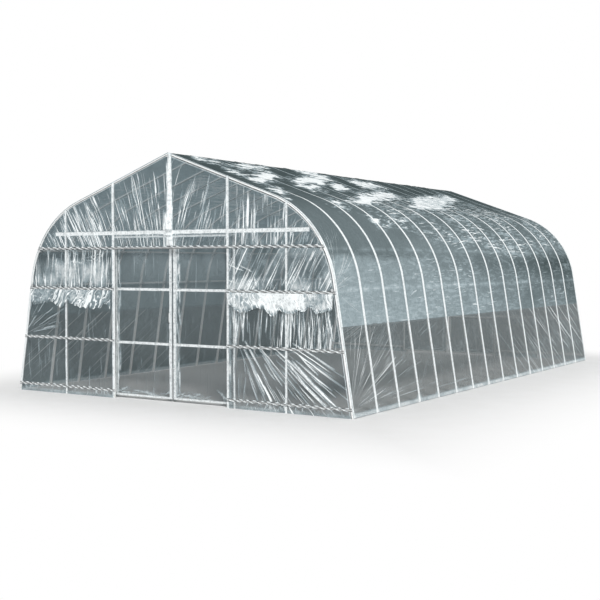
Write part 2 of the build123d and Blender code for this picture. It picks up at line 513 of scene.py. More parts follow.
        # White goes to real whitening and painted glints; the inside face takes its lighter colour, painted
        # in for daylight through the film.
        return made.surface(
            Base_Color=made.blend(white, made.blend(back, self.tint, self.inside), bright),
            Alpha=self.cover(made, white, back),
            Roughness=made.ramp(fine, *self.rough_range, *self.roughness),
            Specular_IOR_Level=self.gloss,
            IOR=self.bending,
            Normal=made.bump(relief, self.crinkle_depth),
        )


@dataclass(frozen=True)
class ZincFinish:
    """Galvanised steel: pale spangled zinc with a little dust near the ground, and where set, painted shade
    on the faces that look down and in a channel's mouth.
    """

    name: str
    pale: tuple = (0.86, 0.88, 0.885, 1.0)
    dark: tuple = (0.66, 0.69, 0.70, 1.0)
    dust: tuple = (0.50, 0.45, 0.38, 1.0)
    dust_height: float = 0.10
    dust_noise: Noise = Noise(55.0)
    dust_range: tuple = (0.35, 0.7)
    dust_share: float = 0.55
    spangle: float = 160.0
    spangle_share: float = 0.30
    mottle_noise: Noise = Noise(7.0, 4.0, 0.6)
    mottle_range: tuple = (0.42, 0.78, 0.0, 0.7)
    under: float = 0.0  # share of painted shade, a dark brown, on the faces that look down
    underside_shade_range: tuple = (-0.60, -0.05)
    underside_shade_colour: tuple = (0.20, 0.18, 0.16, 1.0)
    mouth: float = 0.0  # distance along the tunnel at which the painted shade in a channel's mouth begins
    mouth_soft: float = 0.0006
    mouth_shade_share: float = 0.85
    mouth_shade_colour: tuple = (0.07, 0.075, 0.08, 1.0)
    metal: float = 0.12
    roughness: float = 0.38
    rough_spread: tuple = (-0.07, 0.10)
    gloss: float = 0.45
    relief: tuple = (0.0002, 0.6)

    def material(self) -> Material:
        """Builds the zinc.

        Returns:
            The material.
        """
        made = Nodes.named(self.name)
        cell = made.add("ShaderNodeTexVoronoi", {"Scale": self.spangle, "Vector": made.place}, feature="F1")
        patch = made.add("ShaderNodeSeparateColor", {0: cell.outputs["Color"]}).outputs
        mottle = made.noise(self.mottle_noise)
        spots = made.times(patch[0], self.spangle_share)
        share = made.plus(spots, made.ramp(mottle, *self.mottle_range), clamp=True)
        axes = made.axes(made.place)
        low = made.ramp(axes[2], 0.0, self.dust_height, 1.0, 0.0)
        soil = made.times(low, made.ramp(made.noise(self.dust_noise), *self.dust_range))
        zinc = made.blend(share, self.pale, self.dark)
        colour = made.blend(made.times(soil, self.dust_share), zinc, self.dust)
        # painted shade: darkens the faces that look down
        if self.under:
            face = made.axes(made.add("ShaderNodeNewGeometry").outputs["Normal"])
            below = made.ramp(face[2], *self.underside_shade_range, self.under, 0.0)
            colour = made.blend(below, colour, self.underside_shade_colour)
        # painted shade in a channel's mouth, beyond a set distance along the tunnel
        if self.mouth:
            ends = (self.mouth, self.mouth + self.mouth_soft, 0.0, self.mouth_shade_share)
            colour = made.blend(made.ramp(made.math("ABSOLUTE", axes[1]), *ends), colour, self.mouth_shade_colour)
        rough = [self.roughness + spread for spread in self.rough_spread]
        return made.surface(
            Base_Color=colour,
            Metallic=self.metal,
            Roughness=made.ramp(patch[1], 0.0, 1.0, *rough),
            Specular_IOR_Level=self.gloss,
            Normal=made.bump(made.plus(patch[0], mottle), *self.relief),
        )


@dataclass(frozen=True)
class FloorFinish:
    """The plain pale studio floor, which goes over into the white backdrop away from the piece."""

    name: str
    colour: tuple = (0.88, 0.88, 0.885, 1.0)
    shade: tuple = (0.86, 0.86, 0.86, 1.0)
    grain_noise: Noise = Noise(3.0)
    grain_range: tuple = (0.3, 0.7)
    half_width: float = 2.25
    half_length: float = 3.62
    fade: tuple = (0.02, 2.2)

    def material(self) -> Material:
        """Builds the floor: matt near the piece, where it keeps the shadow, and white further off.

        Returns:
            The material.
        """
        made = Nodes.named(self.name)
        axes = made.axes(made.place)
        over_x = made.less(made.math("ABSOLUTE", axes[0]), self.half_width)
        over_y = made.less(made.math("ABSOLUTE", axes[1]), self.half_length)
        share = made.times(made.ramp(made.most(over_x, over_y), *self.fade), made.seen())
        grain = made.ramp(made.noise(self.grain_noise), *self.grain_range)
        colour = made.blend(grain, self.colour, self.shade)
        matt = made.add("ShaderNodeBsdfDiffuse", {"Color": colour}).outputs[0]
        return made.close(made.mixed(share, matt, made.glow("ShaderNodeEmission", WHITE, 1.0)))


# ---------------------------------------------------------------- shared sizes


@dataclass(frozen=True)
class ArchLine:
    """The centre line of one half arch: leaning leg, shoulder bend and straight rafter."""

    span: float = 4.5
    ridge: float = 2.65
    lean: float = radians(9.2)
    pitch: float = radians(20.0)
    bend: float = 1.1
    pipe: float = 0.0111

    @property
    def foot(self) -> float:
        """X of the leg's centre at the ground."""
        return self.span / 2 - self.pipe / cos(self.lean)

    @property
    def peak(self) -> float:
        """Z of the rafters' centres at the ridge."""
        return self.ridge - self.pipe / cos(self.pitch)

    @property
    def corner(self) -> tuple:
        """Where the leg's and the rafter's lines would meet."""
        x = (self.foot - self.peak * tan(self.lean)) / (1 - tan(self.lean) * tan(self.pitch))
        return x, self.peak - x * tan(self.pitch)

    @property
    def turn(self) -> float:
        """Angle that the shoulder bends through."""
        return pi / 2 - self.lean - self.pitch

    @property
    def reach(self) -> float:
        """Length from the corner to where the bend starts or ends."""
        return self.bend * tan(self.turn / 2)

    @property
    def leg_end(self) -> tuple:
        """Where the leg goes over into the bend."""
        x, z = self.corner
        return x + self.reach * sin(self.lean), z - self.reach * cos(self.lean)

    @property
    def rafter_start(self) -> tuple:
        """Where the bend goes over into the rafter."""
        x, z = self.corner
        return x - self.reach * cos(self.pitch), z + self.reach * sin(self.pitch)

    @property
    def hub(self) -> tuple:
        """Centre of the bend."""
        x, z = self.leg_end
        return x - self.bend * cos(self.lean), z - self.bend * sin(self.lean)

    @property
    def leg_run(self) -> float:
        """Length of the leg."""
        return self.leg_end[1] / cos(self.lean)

    @property
    def bend_run(self) -> float:
        """Length of the bend."""
        return self.bend * self.turn

    @property
    def half_run(self) -> float:
        """Length from the foot to the ridge."""
        return self.leg_run + self.bend_run + self.rafter_start[0] / cos(self.pitch)

    def at(self, run: Field) -> tuple:
        """Points and outward normals along the half arch.

        Args:
            run: lengths from the foot.

        Returns:
            Arrays x, z, normal x and normal z.
        """
        run = np.asarray(run, float)
        turn = np.clip((run - self.leg_run) / self.bend, 0.0, self.turn) + self.lean
        nx, nz = np.cos(turn), np.sin(turn)
        on_leg = run <= self.leg_run
        on_bend = run <= self.leg_run + self.bend_run
        past = run - self.leg_run - self.bend_run
        x = np.where(on_leg, self.foot - run * sin(self.lean), self.hub[0] + self.bend * nx)
        z = np.where(on_leg, run * cos(self.lean), self.hub[1] + self.bend * nz)
        x = np.where(on_bend, x, self.rafter_start[0] - past * cos(self.pitch))
        z = np.where(on_bend, z, self.rafter_start[1] + past * sin(self.pitch))
        return x, z, nx, nz

    def x_at(self, z: Field, off: float) -> Field:
        """Half width at a height.

        Args:
            z: heights.
            off: distance outwards from the centre line.

        Returns:
            X for each height.
        """
        z = np.asarray(z, float)
        leg = self.foot - z * tan(self.lean) + off / cos(self.lean)
        out = self.bend + off
        bend = self.hub[0] + np.sqrt(np.maximum(out ** 2 - (z - self.hub[1]) ** 2, 0.0))
        rafter = (self.peak + off / cos(self.pitch) - z) / tan(self.pitch)
        low = z <= self.leg_end[1] + off * sin(self.lean)
        high = z >= self.hub[1] + out * cos(self.pitch)
        return np.where(low, leg, np.where(high, rafter, bend))

    def z_at(self, x: Field, off: float) -> Field:
        """Height over a distance from the middle, on the bend and the rafter.

        Args:
            x: distances from the middle.
            off: distance outwards from the centre line.

        Returns:
            Z for each distance.
        """
        x = np.abs(np.asarray(x, float))
        out = self.bend + off
        rafter = self.peak + off / cos(self.pitch) - x * tan(self.pitch)
        bend = self.hub[1] + np.sqrt(np.maximum(out ** 2 - (x - self.hub[0]) ** 2, 0.0))
        return np.where(x <= self.hub[0] + out * sin(self.pitch), rafter, bend)


@dataclass(frozen=True)
class ArchRow:
    """Where the arches stand along the tunnel."""

    first: float = -3.6
    bay: float = 0.48
    count: int = 16

    @property
    def names(self) -> list:
        """Names of the arches' pieces."""
        return [f"round_arch_{k + 1:02d}" for k in range(self.count)]

    def move(self, k: int) -> Matrix:
        """The move from the first arch to the one that is k bays on."""
        return Matrix.Translation((0, k * self.bay, 0))

    def off(self, y: Field) -> Field:
        """Distance of each place from the nearest arch's middle."""
        bay = (y - self.first) / self.bay
        return np.abs(bay - np.rint(bay)) * self.bay


@dataclass(frozen=True)
class GableFrame:
    """Where a gable's channels, doorway and posts are."""

    heights: tuple = (0.085, 0.635, 1.2)
    lintel: float = 1.65
    jamb: float = 0.764
    posts: tuple = (0.0, 0.775, 1.49)

    @property
    def channels(self) -> tuple:
        """Heights of all the channels."""
        return (*self.heights, self.lintel)


LINE = ArchLine()
ROW = ArchRow()
GABLE = GableFrame()


# ---------------------------------------------------------------- film sheets


def rising(value: Field, start: Field | float, width: float) -> Field:
    """Goes from 0 at a start to 1 a width further on."""
    return np.clip((value - start) / width, 0, 1)


def falling(value: Field, end: Field | float, width: float) -> Field:
    """Goes from 1 a width before an end to 0 at the end."""
    return np.clip((end - value) / width, 0, 1)


def near(value: Field, middle: float, half: float, soft: float) -> Field:
    """1 round a middle, going to 0 at half a width from it over a soft edge."""
    return falling(np.abs(value - middle), half, soft)


def bell(value: Field, middle: float, width: float, power: int = 2) -> Field:
    """A smooth rise to 1 at a middle."""
    return np.exp(-(((value - middle) / width) ** power))


def steep(value: Field, slope: float, drop: float) -> Field:
    """A field made steeper and cut off at 0 and 1."""
    return np.clip(slope * value - drop, 0, 1)


def most(*fields: Field) -> Field:
    """The highest of several fields at each place."""
    return reduce(np.maximum, fields)


@dataclass(frozen=True)
class Band:
    """A soft white band over a field: its strength, middle, width and how square it is."""

    white: float
    middle: float
    width: float
    power: int = 2

    def at(self, value: Field) -> Field:
        """Whiteness at each place."""
        return self.white * bell(value, self.middle, self.width, self.power)


@dataclass(frozen=True)
class Stroke:
    """A white line over a field: its strength, middle, half width and soft edge."""

    white: float
    middle: float
    half: float
    soft: float

    def at(self, value: Field) -> Field:
        """Whiteness at each place."""
        return self.white * near(value, self.middle, self.half, self.soft)


@dataclass(frozen=True)
class Weave:
    """How a random field lies on a sheet: cells to a metre and shift each way, and octaves."""

    across: float
    across_shift: float
    up: float
    up_shift: float
    octaves: int


class Grain:
    """A smooth repeating random field for cloth-like unevenness."""

    gain = 0.55
    shift = (17, 5)

    def __init__(self, seed: int, cells: int = 64) -> None:
        """Draws the field's table."""
        self.cells = cells
        self.table = np.random.default_rng(seed).random((cells, cells))

    def at(self, u: Field, v: Field) -> Field:
        """Values from 0 to 1.

        Args:
            u: first coordinate, in cells.
            v: second coordinate, in cells.

        Returns:
            The field at each point.
        """
        i, j = np.floor(u).astype(int), np.floor(v).astype(int)
        a, b = u - i, v - j
        a, b = a * a * (3 - 2 * a), b * b * (3 - 2 * b)
        t, n = self.table, self.cells
        low = t[i % n, j % n] * (1 - a) + t[(i + 1) % n, j % n] * a
        high = t[i % n, (j + 1) % n] * (1 - a) + t[(i + 1) % n, (j + 1) % n] * a
        return low * (1 - b) + high * b

    def layered(self, u: Field, v: Field, octaves: int = 4) -> Field:
        """Sum of finer and finer fields, from 0 to 1.

        Args:
            u: first coordinate, in cells.
            v: second coordinate, in cells.
            octaves: number of fields.

        Returns:
            The summed field.
        """
        total, weight = 0.0, 0.0
        for k in range(octaves):
            gain = self.gain ** k
            total = total + gain * self.at(u * 2 ** k + self.shift[0] * k, v * 2 ** k + self.shift[1] * k)
            weight += gain
        return total / weight

    def woven(self, x: Field, z: Field, lie: Weave) -> Field:
        """The layered field as it lies on a sheet."""
        return self.layered(x * lie.across + lie.across_shift, z * lie.up + lie.up_shift, lie.octaves)


@dataclass(frozen=True)
class Pleat:
    """One crease in a sheet, between two points of the sheet's own plane."""

    x0: float
    z0: float
    x1: float
    z1: float
    haze_and_glint: float
    width: float
    rise: float

    reach = 3.2  # how far from its line it is worked out, in widths
    bow = 0.25  # how far it wanders from a straight line, in widths
    waves = (7.0, 31.0)  # how often it wanders, and how its place shifts that
    ends = (0.86, 0.07)  # share of the taper's half wave that it takes, and where that starts
    taper = 0.6
    thin = 0.70  # its white line's width to its own
    bold = (1.5, 1.3)  # how flat the line's top is across and along

    def draw(self, rng: np.random.Generator) -> list:
        """A single crease, which draws no random number."""
        return [self]

    def close(self, x: Field, z: Field) -> Field:
        """Finds the vertices that the crease can reach.

        Args:
            x: first plane coordinate of every vertex.
            z: second plane coordinate of every vertex.

        Returns:
            Their numbers.
        """
        reach = self.reach * self.width
        across = (x > min(self.x0, self.x1) - reach) & (x < max(self.x0, self.x1) + reach)
        up = (z > min(self.z0, self.z1) - reach) & (z < max(self.z0, self.z1) + reach)
        return np.nonzero(across & up)[0]

    def over(self, x: Field, z: Field) -> tuple:
        """Lays the crease over some vertices.

        Args:
            x: their first plane coordinate.
            z: their second plane coordinate.

        Returns:
            Arrays of rise in metres and of whiteness, real whitening together with painted glints.
        """
        dx, dz = self.x1 - self.x0, self.z1 - self.z0
        size = sqrt(dx * dx + dz * dz)
        px, pz = x - self.x0, z - self.z0
        along = np.clip((px * dx + pz * dz) / size ** 2, 0.0, 1.0)
        bow = self.bow * self.width * np.sin(along * self.waves[0] + self.x0 * self.waves[1])
        past_end = np.hypot(px - along * dx, pz - along * dz)
        beside_it = np.abs((px * dz - pz * dx) / size + bow)
        across = np.where((along > 0) & (along < 1), beside_it, past_end)
        taper = np.sin(pi * np.clip(along * self.ends[0] + self.ends[1], 0, 1)) ** self.taper
        line = np.minimum(1.0, self.bold[0] * bell(across, 0.0, self.thin * self.width))
        line = line * np.minimum(1.0, self.bold[1] * taper)
        return self.rise * bell(across, 0.0, self.width) * taper, self.haze_and_glint * line


@dataclass(frozen=True)
class PleatFan:
    """A group of alike creases: where their middles lie, how they lean and how white they are."""

    x: tuple
    z: tuple
    slope: tuple
    length: tuple
    haze_and_glint: tuple
    count: int
    width: tuple = (0.006, 0.0095)
    rise: tuple = (0.003, 0.009)
    pull: tuple | None = None  # the point that they run from, in place of a slope

    def draw(self, rng: np.random.Generator) -> list:
        """Draws the fan's creases.

        Args:
            rng: seeded source of their places.

        Returns:
            The creases.
        """
        made = []
        for _ in range(self.count):
            x, z = rng.uniform(*self.x), rng.uniform(*self.z)
            half = rng.uniform(*self.length) / 2
            if self.pull is None:
                dx, dz = rng.uniform(*self.slope), 1.0
            else:
                dx, dz = x - self.pull[0], z - self.pull[1]
            size = sqrt(dx * dx + dz * dz)
            dx, dz = dx / size * half, dz / size * half
            looks = [rng.uniform(*span) for span in (self.haze_and_glint, self.width, self.rise)]
            made.append(Pleat(x - dx, z - dz, x + dx, z + dz, *looks))
        return made


STIFF = {"width": (0.008, 0.016), "rise": (0.006, 0.014)}
GABLE_CREASES = {
    Panel.TOP: (
        PleatFan((-1.50, -0.95), (1.75, 2.10), (-0.68, -0.40), (0.20, 0.48), (0.45, 1.0), 34, (0.006, 0.010)),
        PleatFan((-0.92, -0.55), (1.72, 2.25), (-0.45, -0.25), (0.15, 0.45), (0.15, 0.55), 16),
        PleatFan((-0.55, -0.08), (1.72, 2.35), (-0.34, -0.12), (0.18, 0.55), (0.20, 0.70), 22),
        PleatFan((0.08, 0.62), (1.72, 2.25), (0.18, 0.45), (0.12, 0.40), (0.25, 0.80), 22),
        PleatFan((0.62, 0.95), (1.70, 2.10), (-0.05, 0.30), (0.15, 0.35), (0.15, 0.55), 10),
        PleatFan((0.95, 1.42), (1.70, 2.08), (-0.03, 0.10), (0.15, 0.40), (0.35, 0.90), 18),
        PleatFan((1.42, 1.80), (1.68, 1.86), (0.10, 0.60), (0.08, 0.25), (0.35, 0.85), 14),
        PleatFan((-1.80, -1.45), (1.68, 1.90), (-0.9, -0.3), (0.10, 0.30), (0.30, 0.80), 14),
        PleatFan((-0.055, 0.055), (1.68, 2.00), (-0.06, 0.06), (0.20, 0.50), (0.6, 1.0), 16, **STIFF),
        PleatFan(
            (-0.025, 0.03), (1.95, 2.52), (-0.04, 0.04), (0.25, 0.55), (0.6, 1.0), 10,
            (0.008, 0.014), (0.006, 0.012),
        ),
        Pleat(-1.38, 2.05, -1.12, 1.67, 1.0, 0.011, 0.010),
        Pleat(-1.17, 2.16, -1.04, 1.86, 0.95, 0.009, 0.008),
        Pleat(-1.33, 1.89, -1.19, 1.66, 1.0, 0.010, 0.009),
        Pleat(-0.51, 2.38, -0.34, 1.86, 0.7, 0.010, 0.008),
        Pleat(-0.42, 2.46, -0.34, 2.11, 0.6, 0.010, 0.006),
        Pleat(1.11, 2.18, 1.12, 1.70, 0.95, 0.009, 0.008),
        Pleat(0.98, 2.12, 0.98, 1.70, 0.85, 0.011, 0.008),
        Pleat(0.29, 2.13, 0.17, 1.83, 0.7, 0.010, 0.007),
    ),
    Panel.RIGHT: (
        PleatFan((0.85, 1.90), (1.30, 1.60), (0.40, 0.72), (0.12, 0.42), (0.30, 0.80), 30),
        PleatFan((0.82, 1.20), (1.25, 1.45), (-4.0, -2.0), (0.12, 0.25), (0.40, 0.85), 6),
        PleatFan((0.82, 2.02), (1.22, 1.32), (-0.4, 0.4), (0.06, 0.16), (0.35, 0.90), 22),
        PleatFan((0.85, 2.00), (0.72, 1.00), (-0.18, 0.22), (0.15, 0.42), (0.35, 0.90), 44),
        PleatFan(
            (1.00, 2.06), (0.12, 0.58), (0.0, 0.0), (0.18, 0.60), (0.40, 0.90), 34,
            (0.006, 0.011), (0.004, 0.011), (0.70, 1.12),
        ),
        PleatFan((0.80, 1.05), (0.12, 0.60), (-0.3, 0.1), (0.12, 0.40), (0.20, 0.60), 12),
        PleatFan((0.82, 2.15), (0.01, 0.07), (-0.6, 0.6), (0.03, 0.09), (0.30, 0.70), 26),
        Pleat(1.56, 0.53, 1.99, 0.15, 0.95, 0.010, 0.011),
        Pleat(1.49, 0.53, 1.86, 0.15, 0.9, 0.009, 0.010),
        Pleat(1.71, 0.39, 2.00, 0.15, 0.95, 0.009, 0.010),
        Pleat(1.21, 0.56, 1.44, 0.27, 0.95, 0.009, 0.010),
        Pleat(1.64, 0.58, 1.86, 0.40, 0.95, 0.010, 0.010),
        Pleat(1.65, 1.02, 1.65, 0.69, 0.95, 0.009, 0.009),
        Pleat(1.56, 1.10, 1.54, 0.67, 0.95, 0.009, 0.009),
        Pleat(1.97, 1.02, 2.03, 0.74, 0.95, 0.010, 0.010),
        Pleat(1.45, 1.67, 1.23, 1.34, 0.8, 0.012, 0.009),
        Pleat(1.83, 1.64, 1.67, 1.33, 0.85, 0.012, 0.009),
    ),
    Panel.LEFT: (
        PleatFan((-1.78, -0.84), (1.36, 1.56), (-0.10, 0.14), (0.10, 0.36), (0.40, 0.95), 50),
        PleatFan((-1.50, -0.90), (1.45, 1.60), (-6.0, 6.0), (0.08, 0.25), (0.30, 0.75), 12),
        PleatFan((-2.00, -0.82), (1.22, 1.34), (-0.5, 0.5), (0.06, 0.18), (0.35, 0.90), 28),
        PleatFan(
            (-2.08, -1.60), (0.72, 0.98), (0.0, 0.0), (0.12, 0.40), (0.25, 0.70), 12, pull=(-2.16, 0.66)
        ),
        PleatFan((-1.60, -0.84), (0.70, 1.00), (-0.25, 0.25), (0.10, 0.30), (0.12, 0.40), 12),
        PleatFan((-2.10, -0.84), (0.15, 0.58), (-0.12, 0.12), (0.15, 0.40), (0.10, 0.40), 22),
        PleatFan((-2.15, -0.82), (0.01, 0.07), (-0.6, 0.6), (0.03, 0.09), (0.30, 0.70), 26),
        Pleat(-1.03, 1.68, -1.03, 1.32, 0.95, 0.013, 0.009),
        Pleat(-1.62, 1.54, -1.64, 1.33, 0.95, 0.010, 0.010),
        Pleat(-1.67, 1.59, -1.70, 1.39, 0.95, 0.010, 0.010),
        Pleat(-1.84, 1.37, -1.80, 1.20, 0.95, 0.009, 0.009),
        Pleat(-1.20, 1.48, -1.41, 1.51, 0.8, 0.013, 0.009),
    ),
}
BROAD = (0.012, 0.020)
SIDE_CREASES = (
    PleatFan(
        (-3.45, -2.40), (0.15, 0.80), (0, 0), (0.25, 0.80), (0.04, 0.14), 14,
        BROAD, (0.002, 0.006), (-3.66, 0.08),
    ),
    PleatFan((1.00, 3.45), (0.15, 0.78), (-1.6, -0.7), (0.12, 0.45), (0.06, 0.25), 40, BROAD, (0.002, 0.006)),
    PleatFan((-2.40, 1.20), (0.15, 0.80), (-0.8, 0.9), (0.12, 0.40), (0.03, 0.12), 24, BROAD, (0.002, 0.005)),
)
# Outlines of the roof's patches of glare, in places along the tunnel and lengths up the arch.
GLARES = (
    ((-3.26, 3.82), (-3.06, 3.84), (-3.23, 3.64), (-3.34, 3.67)),
    ((-3.08, 3.74), (-2.89, 3.77), (-2.99, 3.64), (-3.18, 3.60)),
    ((-2.84, 3.56), (-2.43, 3.75), (-2.02, 3.85), (-1.90, 3.80), (-2.36, 3.59), (-2.69, 3.55)),
    ((-3.13, 3.40), (-3.03, 3.39), (-3.15, 3.22), (-3.30, 3.18)),
    ((-3.24, 3.02), (-2.49, 3.41), (-2.18, 3.53), (-2.30, 3.34), (-3.05, 3.01), (-3.27, 2.90)),
    ((-3.32, 2.69), (-3.07, 2.78), (-3.16, 2.68), (-3.48, 2.44), (-3.52, 2.46)),
    ((-2.20, 3.19), (-1.65, 3.45), (-0.92, 3.65), (-0.86, 3.52), (-1.55, 3.22), (-1.96, 3.17), (-2.35, 2.98)),
    ((-1.25, 3.76), (-0.74, 3.86), (-0.56, 3.69), (-0.97, 3.62)),
    ((-2.28, 2.96), (-1.81, 3.18), (-1.92, 2.99), (-2.35, 2.80)),
    ((-0.23, 3.59), (0.11, 3.69), (0.60, 3.65), (0.63, 3.53), (-0.11, 3.30), (-0.30, 3.34)),
    ((-2.16, 2.42), (-1.26, 2.81), (-0.44, 3.11), (0.27, 3.20), (0.07, 2.99), (-0.94, 2.71), (-1.93, 2.39)),
    ((-2.59, 2.38), (-2.34, 2.47), (-2.54, 2.30), (-2.65, 2.27)),
    ((-2.17, 2.07), (-1.96, 2.11), (-1.89, 2.09), (-2.16, 2.03)),
    ((0.12, 2.83), (1.35, 3.23), (1.90, 3.25), (1.34, 2.84), (0.48, 2.55), (-0.24, 2.43), (-0.54, 2.46)),
    ((1.54, 3.12), (2.57, 3.51), (2.56, 3.31), (1.52, 2.92), (1.49, 3.00)),
    ((-1.71, 2.04), (-1.46, 2.10), (-1.40, 2.07), (-1.62, 2.02)),
    ((-1.30, 3.23), (-0.89, 3.39), (-1.05, 3.16), (-1.48, 3.00)),
)


def drawn(creases: tuple, seed: int) -> list:
    """Draws all of a sheet's creases in order, from one seed."""
    rng = np.random.default_rng(seed)
    return [pleat for item in creases for pleat in item.draw(rng)]


def lay_pleats(x: Field, z: Field, pleats: list) -> tuple:
    """Adds up creases over a sheet.

    Args:
        x: first plane coordinate of every vertex.
        z: second plane coordinate of every vertex.
        pleats: the creases.

    Returns:
        Arrays of rise in metres and of whiteness from 0 up, real whitening together with painted glints.
    """
    rise, haze_and_glint = np.zeros_like(x), np.zeros_like(x)
    for pleat in pleats:
        close = pleat.close(x, z)
        lift, white = pleat.over(x[close], z[close])
        rise[close] += lift
        haze_and_glint[close] = np.maximum(haze_and_glint[close], white)
    return rise, haze_and_glint


def inside_by(x: Field, y: Field, outline: tuple) -> Field:
    """How far points lie inside an outline.

    Args:
        x: first coordinates.
        y: second coordinates.
        outline: the outline's corners in order.

    Returns:
        Distances to its edge, negative outside.
    """
    away, inside = np.full_like(x, np.inf), np.zeros(x.shape, bool)
    for (x0, y0), (x1, y1) in zip(outline, outline[1:] + outline[:1]):
        dx, dy = x1 - x0, y1 - y0
        t = np.clip(((x - x0) * dx + (y - y0) * dy) / (dx * dx + dy * dy), 0, 1)
        away = np.minimum(away, np.hypot(x - x0 - t * dx, y - y0 - t * dy))
        if dy:
            inside ^= ((y0 > y) != (y1 > y)) & (x < x0 + (y - y0) * dx / dy)
    return np.where(inside, away, -away)


def steps(stops: list, pitch: float) -> Field:
    """Places for a grid's rows: every stop, and even steps between them.

    Args:
        stops: places that a row must have.
        pitch: the widest step.

    Returns:
        The places in order.
    """
    stops = sorted(set(round(s, 6) for s in stops))
    made = [stops[0]]
    for a, b in zip(stops, stops[1:]):
        count = max(1, ceil((b - a) / pitch - 1e-6))
        made.extend(a + (b - a) * k / count for k in range(1, count + 1))
    return np.array(made)


def both_ways(offs: tuple) -> tuple:
    """Distances taken to both sides."""
    return (*offs, *(-off for off in offs))


def beside(middles: tuple, offs: tuple, low: float, high: float) -> list:
    """Stops for a grid: a sheet's two ends, and places at set distances from each pipe or channel."""
    places = (mid + off for mid in middles for off in offs)
    return [low, high, *(place for place in places if low < place < high)]


def film_grid(name: str, columns: Field, rows: Field) -> tuple:
    """Adds a flat grid to be shaped into a sheet.

    Args:
        name: the sheet's name.
        columns: places of the grid's columns.
        rows: places of its rows.

    Returns:
        The object, and for each vertex its column's place and its row's place.
    """
    wide, tall = len(columns) - 1, len(rows) - 1
    clear_selection()
    bpy.ops.mesh.primitive_grid_add(x_subdivisions=wide, y_subdivisions=tall, size=1.0)
    piece = settle(name)
    spots = np.empty(len(piece.data.vertices) * 3)
    piece.data.vertices.foreach_get("co", spots)
    spots = spots.reshape(-1, 3)
    i = np.rint((spots[:, 0] + 0.5) * wide).astype(int)
    j = np.rint((spots[:, 1] + 0.5) * tall).astype(int)
    if i.max() != wide or j.max() != tall or len(spots) != len(columns) * len(rows):
        raise ValueError(f"{name}: the grid has {len(spots)} vertices")
    return piece, columns[i], rows[j]


def shape_film(
    piece: Piece, spots: tuple, haze_and_glint: Field, lay: tuple,
    clear: Field | float = 0.0, shine: Field | float = 0.0,
) -> None:
    """Moves a grid's vertices into place and stores its crease and pipe marks.

    Args:
        piece: the grid.
        spots: arrays of the new X, Y and Z.
        haze_and_glint: whiteness from 0 to 1, real whitening together with painted glints and highlights.
        lay: places across and along the pull, and how strong its painted streak highlights are.
        clear: 1 where the film lies tight on a pipe.
        shine: how much its ripples catch the light.
    """
    mesh = piece.data
    across, along, comb = lay
    pull = mesh.attributes.new("lay", "FLOAT_VECTOR", "POINT")
    pull.data.foreach_set("vector", np.column_stack((across, along, across * 0)).astype(np.float32).ravel())
    mesh.vertices.foreach_set("co", np.column_stack(spots).ravel())
    for key, marks in (("haze_and_glint", haze_and_glint), ("clear", clear), ("shine", shine), ("comb", comb)):
        layer = mesh.attributes.new(key, "FLOAT", "POINT")
        layer.data.foreach_set("value", np.clip(marks + 0 * haze_and_glint, 0, 1).astype(np.float32))
    mesh.update()
    clear_selection()
    piece.select_set(True)
    bpy.context.view_layer.objects.active = piece
    bpy.ops.object.shade_smooth()


# ---------------------------------------------------------------- the pipes


@dataclass
class Arches:
    """The sixteen bent arches of round pipe."""

    finish: Material
    line: ArchLine = LINE
    row: ArchRow = ROW
    sides: int = 14
    bend_steps: int = 20
    overrun: float = 0.05
    merge: float = 0.0002

    def model(self) -> Piece:
        """Models one arch: leg, shoulder and rafter of one half, cut square and mirrored.

        Returns:
            The first arch.
        """
        line, first = self.line, self.row.first
        start = (line.foot + self.overrun * tan(line.lean), first, -self.overrun)
        piece = pipe_start("round_arch", line.pipe, self.sides, start, (0, -line.lean, 0))
        leg = line.leg_run + self.overrun / cos(line.lean)
        run_on((-leg * sin(line.lean), 0, leg * cos(line.lean)))
        hub = (line.hub[0], first, line.hub[1])
        bpy.ops.mesh.spin(steps=self.bend_steps, angle=line.turn, center=hub, axis=(0, 1, 0))
        rafter = line.rafter_start[0] / cos(line.pitch) + self.overrun
        run_on((-rafter * cos(line.pitch), 0, rafter * sin(line.pitch)))
        cut((0, 0, 0), (0, 0, 1), keep_ahead=True)
        cut((0, 0, 0), (1, 0, 0), keep_ahead=True, fill=False)
        modified(piece, "MIRROR", use_axis=(True, False, False), merge_threshold=self.merge)
        return close_edit()

    def build(self) -> None:
        """Models one arch, copies it along the tunnel and hides the CAD arches."""
        pattern = self.model()
        paint(pattern, self.finish)
        for k, name in enumerate(self.row.names):
            declare(copied(pattern, name, self.row.move(k)), "house", f"arch_{k + 1:02d}")
        bpy.data.objects.remove(pattern)


